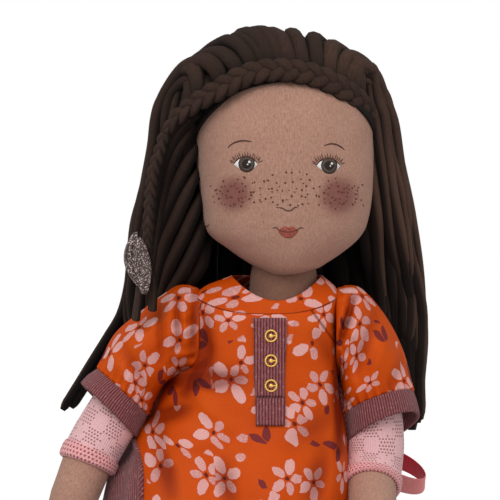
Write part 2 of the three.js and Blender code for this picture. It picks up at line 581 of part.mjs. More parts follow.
for (const [side, name] of SIDES) {
  const leg = new THREE.Group();
  leg.position.set((side * HIP_SPACING) / 2, hipY, hipZ);
  leg.rotation.set(-Math.PI / 2, 0, rad(side * LEG_SPLAY), "ZYX");
  doll.add(leg);
  const thighRows = (grow) => [[0, HIP_RADIUS + grow], [leggingFrom - 9, HIP_RADIUS - 0.4 + grow],
    [leggingFrom - 1.5, thighCore + grow], [thighEnd, thighCore - 0.6 + grow]];
  piece(leg, `thigh_${name}`, limb(thighRows(0), SIDES_ROUND), skin);
  const shell = (rows, wall) => rows.map(([distance, radius]) => [distance, radius + wall]);
  const tubeOf = (rows) => {
    const profile = [...shell(rows, TOUCH), ...shell(rows, TOUCH + LEGGING_WALL).reverse(), shell(rows, TOUCH)[0]];
    return turned(profile.map(([d, r]) => [r, -d]));
  };
  const onThigh = [[leggingFrom, thighCore], [thighEnd, thighCore - 0.6]];
  piece(leg, `legging_thigh_${name}`, tubeOf(onThigh), pinkKnit);

  const shin = new THREE.Group();
  shin.position.z = -THIGH;
  leg.add(shin);
  piece(shin, `shin_foot_${name}`, join(limb(shinRows(0), SIDES_ROUND), footShape(0)), skin);
  const hose = limb(shell(shinRows(0).slice(0, 3), TOUCH + LEGGING_WALL), SIDES_ROUND);
  piece(shin, `legging_shin_${name}`, cut(hose, limb(shinRows(TOUCH), SIDES_ROUND)), pinkKnit);
  const hem = [[LEGGING_LENGTH + TOUCH, KNEE_CORE - 0.8], [LEGGING_LENGTH + 8, KNEE_CORE - 1.1]];
  piece(shin, `legging_hem_${name}`, tubeOf(hem.map(([d, r]) => [d, r + 0.3])), pinkKnit);

  const outside = footShape(TOUCH + SHOE_WALL);
  const top = box(V(-30, -30, -SHIN - 3.5), V(30, 30, 9));
  const instep = new THREE.CylinderGeometry(8.4, 8.4, 60, 16).rotateX(Math.PI / 2).scale(1, 1.5, 1)
    .translate(0, -11.5, -SHIN - FOOT_HEIGHT + 30 + 8);
  const shoe = cut(outside, footShape(TOUCH, 9), limb(shinRows(TOUCH), SIDES_ROUND));
  piece(shin, `shoe_upper_${name}`, cut(shoe, instep, top), suede);
  const strip = box(V(-30, -15, -SHIN - FOOT_HEIGHT + 9), V(30, -9.5, 0));
  const smaller = instep.clone().translate(0, 11.5, 0).scale(0.95, 0.95, 1).translate(0, -11.5, 0);
  piece(shin, `shoe_strap_${name}`, overlap(overlap(shoe, strip), smaller), suede);
  const soleZ = -SHIN - FOOT_HEIGHT - TOUCH;
  const outline = (z, grow) => around(16, (a) => V(
    round(Math.cos(a), 0.9) * (FOOT_HALF_WIDTH + grow),
    Math.sin(a) * ((Math.sin(a) < 0 ? FOOT_FRONT : FOOT_BACK) + grow),
    z,
  ));
  const edge = SHOE_WALL + TOUCH;
  piece(shin, `shoe_sole_${name}`, loft([outline(soleZ, edge - 0.6), outline(soleZ - 0.8, edge),
    outline(soleZ - SOLE, edge - 0.4)]), rubber);
}

// Neck and head
piece(doll, "neck", neckShape(0), skin);
const upHead = (share) => mix(CHIN_HEIGHT, HEAD_TOP, share);
// [height share, half width share, front share, back share, shift to the doll's left]
const HEAD_ROWS = [
  [0, 0.14, 0.45, 0.29, 0.2], [0.0168, 0.246, 0.634, 0.357, 1.4], [0.0345, 0.358, 0.707, 0.43, 2.2],
  [0.055, 0.442, 0.756, 0.49, 2], [0.086, 0.563, 0.817, 0.58, 2], [0.121, 0.684, 0.866, 0.69, 2],
  [0.156, 0.796, 0.902, 0.762, 1.3], [0.187, 0.863, 0.927, 0.8, 0.9], [0.221, 0.898, 0.946, 0.833, 0.9],
  [0.289, 0.93, 0.976, 0.89, 1.3], [0.377, 0.961, 0.995, 0.952, 1.5], [0.488, 0.99, 1, 1, 1.1],
  [0.602, 0.997, 0.99, 1, 0.7], [0.686, 0.983, 0.951, 0.976, 1.2], [0.801, 0.9, 0.844, 0.862, 1.6],
  [0.881, 0.737, 0.673, 0.69, 1.8], [0.945, 0.514, 0.463, 0.476, 2], [1, 0.2, 0.18, 0.2, 2.2],
];
function headShape(grow, sides = 24) {
  return loft(HEAD_ROWS.map(([share, wide, ahead, behind, shift], i) => {
    const end = i === 0 ? -grow : i === HEAD_ROWS.length - 1 ? grow : 0;
    const z = upHead(share);
    return around(sides, (a) => V(
      NECK_SHIFT + shift + round(Math.cos(a), 0.9) * (wide * HEAD_HALF_WIDTH + grow),
      neckY + round(Math.sin(a), 0.9) * ((Math.sin(a) < 0 ? ahead * FACE_DEPTH : behind * SKULL_DEPTH) + grow),
      z + end,
    ));
  }));
}
piece(doll, "head", cut(headShape(0), neckShape(TOUCH)), skin);

// Braid that lies over the front of the hair, and the braid that hangs from its end
const HEADBAND_PATH = [
  [51.5, -8, 227], [47, -18, 237], [35.5, -27, 246], [22.3, -29, 251.3], [8.5, -29.5, 252.6], [-3.5, -29, 250],
  [-14, -29, 245.8], [-24.3, -27, 241.5], [-34, -23.5, 238], [-42, -20, 231.5], [-50.4, -19.8, 220.2],
].map(([x, y, z]) => V(x, trunkY + y, z));
const headband = (grow) => {
  const curve = new THREE.CatmullRomCurve3(HEADBAND_PATH).getPoints(15);
  return tube(curve, (t) => HEADBAND_RADIUS + 1.6 * Math.sin(Math.PI * t) + grow, 10, BRAID_FLATNESS);
};
const headRoom = headShape(TOUCH);
const neckRoom = neckShape(TOUCH);
piece(doll, "headband_braid", cut(headband(0), headRoom), jersey);
const BRAID_PATH = [
  [-51.3, -20, 219.4], [-53.8, -21, 209], [-56.5, -22.5, 200], [-58, -23.5, 189], [-58.8, -24, 178.5],
  [-59.3, -24, 167.5], [-59.8, -24, 158], [-60.4, -24, 150],
].map(([x, y, z]) => V(x, trunkY + y, z));
const braidSpan = new THREE.CatmullRomCurve3(BRAID_PATH).getPoints(11);
const braidEnd = BRAID_PATH[BRAID_PATH.length - 1];
const sideBraid = tube(braidSpan, (t) => SIDE_BRAID_RADIUS * Math.min(1, 0.28 + 6 * t), 10, BRAID_FLATNESS);
piece(doll, "side_braid", sideBraid, jersey);

// Leaf-shaped bow tied on the braid's front, and the braid's two loose ends
const LEAF_FLATNESS = 0.62;
const leafY = braidEnd.y - SIDE_BRAID_RADIUS * BRAID_FLATNESS - (LEAF_WIDTH / 2) * LEAF_FLATNESS * 0.76 - TOUCH;
const leafTop = V(braidEnd.x - 5.4, leafY, braidEnd.z - 12 + LEAF_HEIGHT);
const leafFoot = V(braidEnd.x - 1.6, leafY, braidEnd.z - 12);
const leafRing = (t) => {
  const swell = Math.sin(Math.PI * mix(0.12, 0.93, t)) * (1 - 0.42 * Math.exp(-(((t - 0.42) * 7) ** 2)));
  return around(12, (a) => leafTop.clone().lerp(leafFoot, t).add(V(
    (LEAF_WIDTH / 2) * swell * Math.cos(a),
    (LEAF_WIDTH / 2) * LEAF_FLATNESS * swell * Math.sin(a),
    0,
  )));
};
piece(doll, "leaf_bow", loft(Array.from({ length: 10 }, (_, i) => leafRing(i / 9))), glitter);
for (const [i, lean, length] of [[1, -4, 25], [2, 0, 20]]) {
  const top = V(braidEnd.x + (i === 1 ? -1 : 1) * (TAIL_RADIUS + TOUCH / 2), braidEnd.y, braidEnd.z - 2 * TOUCH - 0.1);
  const path = [top, top.clone().add(V(lean * 0.4, 0.4, -length / 2)), top.clone().add(V(lean, 1, -length))];
  const curve = new THREE.CatmullRomCurve3(path).getPoints(5);
  piece(doll, `braid_tail_${i}`, tube(curve, () => TAIL_RADIUS, 6), jersey);
}

// Hair: the crown, and three curtains that hang behind the shoulders
// [height, reach on the doll's right, on its left, front edge, back]
const HAIR_ROWS = [
  [66, 70, 82, 33, 50], [99, 73, 82.5, 33, 51], [120, 74, 83.5, 31, 52], [132, 75, 83.5, 30, 53],
  [146, 74, 81.5, 28, 55], [158, 72.6, 79, 14, 56], [170, 71.3, 77, 3, 57], [184, 68.5, 74.7, -6, 57.5],
  [200, 64.2, 71.4, -12, 57.5], [212, 61.6, 69, -14, 57], [224, 60, 66.5, -14.5, 55.5], [236, 56.8, 62, -14, 52],
];
const hairTop = HAIR_ROWS[HAIR_ROWS.length - 1][0];
const STRAND_STEP = rad(12);
function hairPoint(angle, z, inside) {
  const [right, left, front, back] = along(HAIR_ROWS, z);
  const side = angle < Math.PI / 2 ? left : right;
  const middle = Math.min(front + 15, 36);
  const groove = 0.9 * Math.cos((2 * Math.PI * angle) / STRAND_STEP);
  const out = groove * (inside ? 0 : 1) - inside * HAIR_DEPTH;
  const depth = Math.sin(angle) < 0 ? middle - front : back - middle;
  return V(
    round(Math.cos(angle), 0.85) * (side + out),
    trunkY + middle + round(Math.sin(angle), 0.85) * Math.max(2, depth + (Math.sin(angle) < 0 ? out * 0.3 : out)),
    z,
  );
}
// [name, from, to, lowest height across the curtain]
const CURTAINS = [
  ["hair_left", -48, 49, (u) => (u < 0.45 ? 116 : u < 0.72 ? 72 : 80)],
  ["hair_back", 50, 130, (u) => 78 + 5 * Math.cos(u * 19)],
  ["hair_right", 131, 228, (u) => (u < 0.3 ? 84 : 118)],
];
const curtainRooms = [headRoom, neckRoom, headband(TOUCH)];
for (const [name, from, to, low] of CURTAINS) {
  const curtain = sheet(
    (u, v, k) => hairPoint(rad(mix(from, to, u)), mix(hairTop, low(u), v), k), Math.round((to - from) / 4), 8);
  piece(doll, name, cut(curtain, ...curtainRooms), jersey);
}

// The crown rises from the curtains' top edge; its strands run from front to back
const CROWN_ROWS = [
  [hairTop + TOUCH, 56.5, 61.6, 42, 52], [243, 53, 58.4, 41, 48.5], [250, 48, 53, 36, 43], [257, 39, 44.5, 29, 35.5],
  [263.5, 28, 35, 21.5, 26.5], [268.5, 17, 23, 13.5, 17], [HAIR_TOP, 5, 9, 5, 6],
];
const crown = loft(CROWN_ROWS.map(([z, right, left, ahead, behind], i) => around(32, (a) => {
  const x = round(Math.cos(a), 0.9) * (Math.cos(a) > 0 ? left : right);
  const dent = 0.9 * Math.cos((2 * Math.PI * x) / STRAND_WIDTH);
  return V(x + 2, neckY + round(Math.sin(a), 0.9) * (Math.sin(a) < 0 ? ahead : behind), z + (i ? dent - 0.9 : 0));
})));
const faceWindow = box(V(-99, trunkY - 99, 0), V(99, trunkY - 20, 246));
piece(doll, "hair_crown", largest(cut(crown, headRoom, headband(TOUCH), faceWindow)), jersey);

// Loose strands that swing out behind the raised arm
const LOOSE_PATH = [[-78.7, 34, 143], [-81.5, 36, 131], [-86.5, 38, 118], [-92, 38, 105], [-99, 38, 90], [-105.5, 38, 77]]
  .map(([x, y, z]) => V(x, trunkY + y, z));
const loose = tube(new THREE.CatmullRomCurve3(LOOSE_PATH).getPoints(9), () => STRAND_WIDTH / 2, 8, 0.8);
piece(doll, "loose_strands", loose, jersey);

export default doll;
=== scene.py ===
import math
import bpy
import numpy as np
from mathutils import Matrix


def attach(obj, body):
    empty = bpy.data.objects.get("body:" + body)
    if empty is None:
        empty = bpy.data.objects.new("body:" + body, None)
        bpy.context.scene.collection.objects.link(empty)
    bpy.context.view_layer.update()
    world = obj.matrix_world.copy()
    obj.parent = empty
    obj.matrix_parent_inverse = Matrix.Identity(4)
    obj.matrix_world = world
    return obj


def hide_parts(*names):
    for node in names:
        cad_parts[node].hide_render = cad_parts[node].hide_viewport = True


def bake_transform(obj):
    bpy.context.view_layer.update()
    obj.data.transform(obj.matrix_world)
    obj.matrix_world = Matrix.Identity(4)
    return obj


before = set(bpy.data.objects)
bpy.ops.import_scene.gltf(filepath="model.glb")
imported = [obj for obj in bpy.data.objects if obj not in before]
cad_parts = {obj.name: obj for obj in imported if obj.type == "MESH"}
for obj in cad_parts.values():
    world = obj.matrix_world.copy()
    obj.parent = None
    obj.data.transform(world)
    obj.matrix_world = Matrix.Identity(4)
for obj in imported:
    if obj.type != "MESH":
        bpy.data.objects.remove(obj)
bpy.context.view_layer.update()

pi = math.pi

# Section: camera, floor and light
# A long lens level with the doll's shoulders, straight at its front, 1.7 m away.
# The floor and the world are white to the camera and plain to the doll's cloth.
camera = bpy.data.objects.new("camera", bpy.data.cameras.new("camera"))
bpy.context.collection.objects.link(camera)
camera.data.sensor_width = 36
camera.data.lens = 244.8
camera.data.clip_end = 50
camera.location = (-0.009, -1.73, 0.160)
camera.rotation_euler = (pi / 2, 0, 0)
bpy.context.scene.camera = camera
bpy.context.scene.view_settings.view_transform = "Standard"


class Value:
    """A value that changes over a surface. Plain sums with it add the nodes that work them out."""

    def __init__(self, socket):
        self.socket = socket
        self.tree = socket.id_data

    def __add__(self, other):
        return calc("ADD", self, other)

    def __sub__(self, other):
        return calc("SUBTRACT", self, other)

    def __rsub__(self, other):
        return calc("SUBTRACT", other, self)

    def __mul__(self, other):
        return calc("MULTIPLY", self, other)

    def __truediv__(self, other):
        return calc("DIVIDE", self, other)


def give(value, socket):
    """Sets a socket to a plain value, or joins another node's value to it."""
    if isinstance(value, Value):
        value.tree.links.new(value.socket, socket)
    else:
        socket.default_value = value


def node(tree, kind, inputs=None, **settings):
    """A shader node from its inputs and settings, as its output values by number and by name."""
    made = tree.nodes.new(kind)
    for key, value in settings.items():
        setattr(made, key, value)
    for key, value in (inputs or {}).items():
        give(value, made.inputs[key])
    return {key: Value(socket) for k, socket in enumerate(made.outputs) for key in (k, socket.name)}


def tree_of(*parts):
    """The tree that the first shader value among the parts is in."""
    return next(part.tree for part in parts if isinstance(part, Value))


def calc(operation, *parts, clamp=False):
    """One step of arithmetic on numbers."""
    inputs = dict(enumerate(parts))
    return node(tree_of(*parts), "ShaderNodeMath", inputs, operation=operation, use_clamp=clamp)[0]


def between(value, low, high, start=0.0, end=1.0):
    """Where a value lies between low and high, on a smooth step from start to end."""
    inputs = {"Value": value, "From Min": low, "From Max": high, "To Min": start, "To Max": end}
    return node(value.tree, "ShaderNodeMapRange", inputs, interpolation_type="SMOOTHSTEP")[0]


def noise(place, scale, detail):
    """A soft cloud of values round 0.5, with so many spots to a metre."""
    return node(place.tree, "ShaderNodeTexNoise", {"Vector": place, "Scale": scale, "Detail": detail})[0]


def in_object(tree):
    """The place in the doll, in metres."""
    return node(tree, "ShaderNodeTexCoord")["Object"]


def colour(red, green, blue):
    """A colour as a screen shows it, from 0 to 255, turned into amounts of light."""
    value = np.array([red, green, blue]) / 255
    return (*np.where(value <= 0.04045, value / 12.92, ((value + 0.055) / 1.055) ** 2.4), 1.0)


def blended(share, first, second, way="MIX"):
    """Two colours mixed, the second by its share."""
    inputs = {0: share, 6: first, 7: second}
    return node(tree_of(*inputs.values()), "ShaderNodeMix", inputs, data_type="RGBA", blend_type=way)[2]


def finish_of(name, roughness, **constants):
    """A new material with its Principled shader, whose plain numbers are set on its own sockets."""
    material = bpy.data.materials.new(name)
    material.use_nodes = True
    tree = material.node_tree
    shader = tree.nodes["Principled BSDF"]
    for key, value in {"Roughness": roughness, **constants}.items():
        give(value, shader.inputs[key.replace("_", " ")])
    return material, tree, shader


world = bpy.data.worlds.new("studio")
bpy.context.scene.world = world
world.use_nodes = True
background = world.node_tree.nodes["Background"]
paths = node(world.node_tree, "ShaderNodeLightPath")
seen = calc("MAXIMUM", paths["Is Camera Ray"], paths["Is Transmission Ray"])
give(between(seen, 0, 1, 0.46, 1.0), background.inputs["Strength"])
give((1, 1, 1, 1), background.inputs["Color"])

for name, strength, angle, aim in (("key", 1.35, 40, (52, 0, -24)), ("fill", 0.55, 60, (64, 0, 38))):
    lamp = bpy.data.objects.new(name, bpy.data.lights.new(name, "SUN"))
    lamp.data.energy = strength
    lamp.data.angle = math.radians(angle)
    lamp.rotation_euler = [math.radians(turn) for turn in aim]
    bpy.context.collection.objects.link(lamp)

FLOOR_REACH, FLOOR_HEIGHT = 20, -0.0002
corners = [(x * FLOOR_REACH, y * FLOOR_REACH, FLOOR_HEIGHT) for x, y in ((-1, -1), (1, -1), (1, 1), (-1, 1))]
floor_mesh = bpy.data.meshes.new("floor")
floor_mesh.from_pydata(corners, [], [(0, 1, 2, 3)])
floor = bpy.data.objects.new("floor", floor_mesh)
bpy.context.collection.objects.link(floor)
material, tree, shader = finish_of("studio floor", 0.9, Specular_IOR_Level=0.0, Emission_Color=(1, 1, 1, 1))
paper = noise(in_object(tree), 900.0, 3.0)
give(blended(paper, (0.60, 0.60, 0.60, 1), (0.62, 0.62, 0.62, 1)), shader.inputs["Base Color"])
paths = node(tree, "ShaderNodeLightPath")
seen = calc("MAXIMUM", paths["Is Camera Ray"], paths["Is Glossy Ray"])
give(seen * 0.52, shader.inputs["Emission Strength"])
floor_mesh.materials.append(material)

# Section: stuffed head
# A stuffed head of brown knitted jersey, broad and flat-faced, with a small pointed chin.
# Its face is printed; the blush is dyed into the jersey.
NECK_Y = -14
TRUNK_Y = -16
# [height, half width, middle, face depth, skull depth]
HEAD_ROWS = [
    [147.2, 2.0, 7.5, 14.0, 10.0], [147.8, 7.0, 8.2, 20.0, 12.0], [149.2, 11.0, 9.4, 25.5, 15.0],
    [151.2, 16.0, 10.2, 28.8, 18.0], [153.5, 19.8, 10.0, 30.8, 20.5], [157, 25.2, 10.0, 33.2, 24.4],
    [161, 30.6, 10.0, 35.2, 29.0], [165, 35.8, 9.3, 36.8, 32.0], [168.5, 39.0, 8.9, 37.8, 33.6],
    [172.3, 40.9, 8.9, 38.6, 35.0], [180, 42.4, 9.3, 39.8, 37.4], [190, 43.9, 9.5, 40.6, 40.0],
    [202.5, 45.2, 9.1, 41.0, 42.0], [215.5, 45.4, 8.7, 40.6, 42.0], [225, 44.6, 9.2, 39.0, 41.0],
    [238, 40.3, 9.6, 34.6, 36.2], [247, 33.0, 9.8, 27.6, 29.0], [254.3, 23.0, 10.0, 19.0, 20.0],
    [258.6, 13.0, 10.2, 10.6, 11.6], [260.6, 3.0, 10.3, 2.4, 2.6],
]
ROUNDNESS = 0.9


def along(rows, places):
    """Values read off rows of [place, value, ...] on a smooth curve that never overshoots: a cubic
    between two rows, whose slope at a row is the harmonic mean of the slopes on either side."""
    table = np.array(sorted(rows), float)
    x, y = table[:, 0], table[:, 1:]
    rise = np.diff(y, axis=0) / np.diff(x)[:, None]
    both = rise[1:] * rise[:-1]
    middle = np.where(both > 0, 2 * both / np.where(both > 0, rise[1:] + rise[:-1], 1), 0)
    slope = np.vstack([rise[:1], middle, rise[-1:]])
    place = np.clip(np.asarray(places, float), x[0], x[-1])
    i = np.clip(np.searchsorted(x, place, side="right") - 1, 0, len(x) - 2)
    h = (x[i + 1] - x[i])[..., None]
    s = (place - x[i])[..., None] / h
    curve = y[i] * (1 + 2 * s) * (1 - s) ** 2 + y[i + 1] * s * s * (3 - 2 * s)
    return curve + h * (slope[i] * s * (1 - s) ** 2 + slope[i + 1] * s * s * (s - 1))


def columns(rows, places):
    """The values that rows give at places, one array for each."""
    return np.moveaxis(along(rows, places), -1, 0)


def circle(count):
    """Evenly spaced angles, once round."""
    return np.linspace(0, 2 * pi, count, endpoint=False)


def spread(*parts):
    """A grid of places, or of UV, from its coordinates, each of which may vary along one axis only."""
    return np.stack(np.broadcast_arrays(*parts), -1)


def powered(value, power):
    """A value's size raised to a power, with its sign kept."""
    return np.sign(value) * np.abs(value) ** power


def make(name, chunks, material):
    """A smooth mesh from chunks of (points in millimetres, faces, UV corners in metres); a closed
    mesh whose volume comes out negative is turned right side out."""
    start, points, faces, corners = 0, [], [], []
    for chunk_points, chunk_faces, chunk_corners in chunks:
        points.append(np.asarray(chunk_points, float).reshape(-1, 3))
        for block, uv in zip(chunk_faces, chunk_corners):
            faces.append(block + start)
            corners.append(uv)
        start += len(points[-1])
    points = np.concatenate(points) * 0.001
    volume = 0.0
    centred = points - points.mean(0)
    for block in faces:
        for k in range(1, block.shape[1] - 1):
            a, b, c = (centred[block[:, i]] for i in (0, k, k + 1))
            volume += (a * np.cross(b, c)).sum()
    if volume < 0:
        faces = [block[:, ::-1] for block in faces]
        corners = [uv[:, ::-1] for uv in corners]
    mesh = bpy.data.meshes.new(name)
    mesh.from_pydata(points.tolist(), [], [row for block in faces for row in block.tolist()])
    flat_uv = np.concatenate([uv.reshape(-1, 2) for uv in corners])
    mesh.uv_layers.new(name="UVMap").data.foreach_set("uv", flat_uv.astype(np.float32).ravel())
    mesh.polygons.foreach_set("use_smooth", np.ones(len(mesh.polygons), bool))
    mesh.materials.append(material)
    mesh.update()
    made = bpy.data.objects.new(name, mesh)
    bpy.context.collection.objects.link(made)
    return made


def quilt(points, uv, wrap=False, poles=(False, False), loop=False):
    """One chunk: quads over a grid of points [across, along]. wrap joins the last column to the first,
    and loop the last row to the first; the UV then has one column or row more. A pole closes the
    first or last row with a fan round its middle."""
    n, m = points.shape[:2]
    columns, rows = np.arange(n if wrap else n - 1), np.arange(m if loop else m - 1)
    i, j = (a.ravel() for a in np.meshgrid(columns, rows, indexing="ij"))
    gi, gj = np.stack([i, i + 1, i + 1, i], 1), np.stack([j, j, j + 1, j + 1], 1)
    faces, corners = [(gi % n) * m + gj % m], [uv[gi, gj]]
    flat = points.reshape(-1, 3)
    k = np.arange(n)
    for row, closed in ((0, poles[0]), (m - 1, poles[1])):
        if not closed:
            continue
        ring = points[:, row]
        hub, order = np.full(n, len(flat)), [0, 1, 2] if row == 0 else [0, 2, 1]
        flat = np.vstack([flat, ring.mean(0)])
        a, b = k * m + row, ((k + 1) % n) * m + row
        first, second = uv[k, row], uv[k + 1, row]
        faces.append(np.stack([hub, b, a], 1)[:, order])
        corners.append(np.stack([(first + second) / 2, second, first], 1)[:, order])
    return flat, faces, corners


def capped(points, uv):
    """One chunk: a tube over a grid of points, closed at both ends."""
    return quilt(points, uv, wrap=True, poles=(True, True))


def paint(piece, name, values):
    """A number for each of a piece's points, which its material reads."""
    layer = piece.data.attributes.new(name, "FLOAT", "POINT")
    layer.data.foreach_set("value", np.asarray(values, np.float32).ravel())


def head_ring(z, angle, grow=0.0):
    """The head's outline at a height: a rounded oblong, deeper or shallower before and behind."""
    half, middle, face, skull = columns(HEAD_ROWS, z)
    deep = np.where(np.sin(angle) < 0, face, skull) + grow
    x = middle + powered(np.cos(angle), ROUNDNESS) * (half + grow)
    return spread(x, NECK_Y + powered(np.sin(angle), ROUNDNESS) * deep, z)


def on_cloth(tree):
    """The place on the piece's own cloth: its UV, in metres."""
    return node(tree, "ShaderNodeUVMap", uv_map="UVMap")[0]


def mark(tree, name):
    """The number that the piece's points carry under a name."""
    return node(tree, "ShaderNodeAttribute", attribute_name=name)["Fac"]


def place_calc(operation, first, second):
    """One step of arithmetic on places."""
    inputs = {0: first, "Scale" if operation == "SCALE" else 1: second}
    return node(first.tree, "ShaderNodeVectorMath", inputs, operation=operation)[0]


def split(value, kind="ShaderNodeSeparateXYZ"):
    """The three numbers of a place, or of a colour."""
    parts = node(value.tree, kind, {0: value})
    return parts[0], parts[1], parts[2]


def group_of(name, inputs, outputs):
    """A new shader group, the values that it is given and the sockets that it puts its numbers out by."""
    group = bpy.data.node_groups.new(name, "ShaderNodeTree")
    for socket in inputs:
        kind = "NodeSocketVector" if socket == "Vector" else "NodeSocketFloat"
        group.interface.new_socket(socket, in_out="INPUT", socket_type=kind)
    for socket in outputs:
        group.interface.new_socket(socket, in_out="OUTPUT", socket_type="NodeSocketFloat")
    source, sink = group.nodes.new("NodeGroupInput"), group.nodes.new("NodeGroupOutput")
    return group, [Value(source.outputs[socket]) for socket in inputs], sink.inputs


def surfaced(shader, base, height, strength, distance):
    """Gives a shader its base colour, and its relief with its height in metres."""
    give(base, shader.inputs["Base Color"])
    relief = node(base.tree, "ShaderNodeBump", {"Strength": strength, "Distance": distance, "Height": height})
    give(relief[0], shader.inputs["Normal"])


def knit_group():
    """Fine plain knit on UV in metres: upright wales of V-shaped stitches, a heather of darker and
    lighter fibres along them, and a slow mottle. Puts out Shade round 0.5, and Height."""
    inputs = ("Vector", "Pitch", "Heather")
    group, (vector, pitch, heather), sink = group_of("fine knit", inputs, ("Shade", "Height"))
    x, y, _ = split(vector)
    across = x / pitch
    wale = calc("ABSOLUTE", calc("SINE", across * pi))
    vee = calc("PINGPONG", across, 0.5) * 1.6
    stitch = calc("SINE", (y / pitch + vee) * (2 * pi * 0.8))
    fibre = noise(place_calc("MULTIPLY", vector, (1.0, 0.22, 1.0)), 1500.0, 2.0)
    fleck, mottle = noise(vector, 900.0, 1.0), noise(vector, 60.0, 2.0)
    total = (fibre - 0.5) * 1.5 + (fleck - 0.5) * 1.1 + (mottle - 0.5) * 0.5
    give(calc("MULTIPLY_ADD", total + (wale - 0.6) * 0.25, heather, 0.5), sink["Shade"])
    give(wale + stitch * 0.35, sink["Height"])
    return group


fine_knit = knit_group()


def knitted(name, dark, light, pitch, heather, bump, roughness=0.92, sheen=0.12, tint=None):
    """A material of plain knit between two colours, which tint may change over the piece."""
    material, tree, shader = finish_of(name, roughness, Specular_IOR_Level=0.25, Sheen_Weight=sheen,
                                       Sheen_Roughness=0.5)
    inputs = {"Vector": on_cloth(tree), "Pitch": pitch, "Heather": heather}
    knit = node(tree, "ShaderNodeGroup", inputs, node_tree=fine_knit)
    base = blended(calc("ADD", knit["Shade"], 0.0, clamp=True), dark, light)
    surfaced(shader, tint(base) if tint else base, knit["Height"], bump, 0.0004)
    return material


def blushed(base):
    """The dyed blush over the jersey, by the piece's own marks."""
    return blended(mark(base.tree, "blush"), base, blended(0.8, base, colour(126, 70, 64)))


SKIN_DARK, SKIN_LIGHT = colour(143, 101, 82), colour(209, 163, 143)
face_jersey = knitted("brown jersey face", SKIN_DARK, SKIN_LIGHT, 0.00062, 0.5, 0.4, tint=blushed)
skin_jersey = knitted("brown jersey", SKIN_DARK, SKIN_LIGHT, 0.00062, 0.5, 0.4)
# The neck's jersey is coloured darker than the face's: painted shade under the chin.
shaded_neck_jersey = knitted("brown jersey neck", colour(114, 77, 62), colour(160, 117, 98), 0.00062, 0.5, 0.4)

BLUSH = ((-17.0, 187.6, 7.6), (34.9, 187.0, 8.3))
angle = circle(192) + pi / 2
height = 147.2 + 113.4 * (0.5 - 0.5 * np.cos(pi * np.linspace(0, 1, 150))) ** 0.9
points = head_ring(height[None, :], angle[:, None])
turns = np.append(angle, angle[0] + 2 * pi) - 1.5 * pi
uv = spread(turns[:, None] * 0.044, height * 0.001)
head = make("head_stuffed", [capped(points, uv)], face_jersey)
flat = np.array([tuple(v.co) for v in head.data.vertices]) * 1000
soft = [np.clip(1.55 - np.hypot(flat[:, 0] - x, flat[:, 2] - z) / r, 0, 1) for x, z, r in BLUSH]
paint(head, "blush", np.where(flat[:, 1] < -20, np.clip(sum(t * t * (3 - 2 * t) for t in soft), 0, 1), 0))
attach(head, "head")
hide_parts("head")


# Section: printed face
# Eyes, brows, nose, mouth and freckles are printed on the jersey in fabric ink.
# Each is a film of ink a tenth of a millimetre proud, drawn flat and laid on the face.
DRAWING_MIDDLE = (-9, 160)
DRAWN_IN = 0.988


def on_face(x, z, lift=0.0):
    """A point of the drawing laid on the face: the drawing is drawn in by a hundredth towards its
    middle, and each point of it then comes forward to the jersey."""
    x, z = (at + (np.asarray(value, float) - at) * DRAWN_IN for value, at in zip((x, z), DRAWING_MIDDLE))
    half, middle, face, _ = columns(HEAD_ROWS, z)
    inside = np.clip(1 - np.abs((x - middle) / half) ** (2 / ROUNDNESS), 0, 1)
    return np.stack([x, NECK_Y - face * inside ** (ROUNDNESS / 2) - lift, z], -1)


def inked(outline, lift=0.16, rings=4):
    """A filled shape on the face: rings that shrink from its outline to its middle, closed behind."""
    outline = np.asarray(outline, float)
    middle = outline.mean(0)
    share = np.linspace(1, 0.04, rings)
    flat = middle + (outline - middle)[:, None, :] * share[None, :, None]
    top = on_face(flat[..., 0], flat[..., 1], lift)
    rim = on_face(outline[:, 0], outline[:, 1], -0.4)[:, None]
    grid = np.concatenate([rim, top], 1)
    uv = np.stack([grid[..., 0], grid[..., 2]], -1) * 0.001
    return capped(grid, np.concatenate([uv, uv[:1]]))


def round_curve(points, count, closed=False):
    """A smooth line through points: Catmull-Rom, the same number of steps between each two."""
    points = np.asarray(points, float)
    if closed:
        points = np.concatenate([points[-1:], points, points[:2]])
    else:
        points = np.concatenate([2 * points[:1] - points[1:2], points, 2 * points[-1:] - points[-2:-1]])
    spans = len(points) - 3
    t = np.linspace(0, spans, count, endpoint=not closed)
    i = np.minimum(t.astype(int), spans - 1)
    s = (t - i).reshape(-1, *([1] * (points.ndim - 1)))
    a, b, c, d = (points[i + k] for k in range(4))
    curved = (2 * a - 5 * b + 4 * c - d) * s ** 2 + (3 * b - a - 3 * c + d) * s ** 3
    return 0.5 * (2 * b + (c - a) * s + curved)


def unit(vectors):
    """Directions as vectors of length 1."""
    return vectors / np.linalg.norm(vectors, axis=-1, keepdims=True)


def stroke(points, widest, lift=0.2, taper=0.35, count=18):
    """A pen line on the face: a flat band along a curve, thin at both ends, sunk into the jersey."""
    line = round_curve(points, count)
    ahead = unit(np.gradient(line, axis=0))
    side = np.stack([-ahead[:, 1], ahead[:, 0]], -1)
    width = widest / 2 * (taper + (1 - taper) * np.sin(pi * np.linspace(0, 1, count)) ** 0.6)
    section = ((-1, -0.4), (-0.75, lift * 0.8), (0, lift), (0.75, lift * 0.8), (1, -0.4), (0, -0.5))
    grid = np.stack([on_face(*(line + side * (width * k)[:, None]).T, up) for k, up in section])
    uv = np.stack([grid[..., 0], grid[..., 2]], -1) * 0.001
    return capped(grid, np.concatenate([uv, uv[:1]]))


def ink(name, dark, light):
    """Fabric ink: the jersey's stitches break its colour up."""
    material, tree, shader = finish_of(name, 0.8, Specular_IOR_Level=0.25)
    grain = noise(in_object(tree), 1400.0, 2.0)
    surfaced(shader, blended(between(grain, 0.3, 0.7), dark, light), grain, 0.2, 0.0002)
    return material


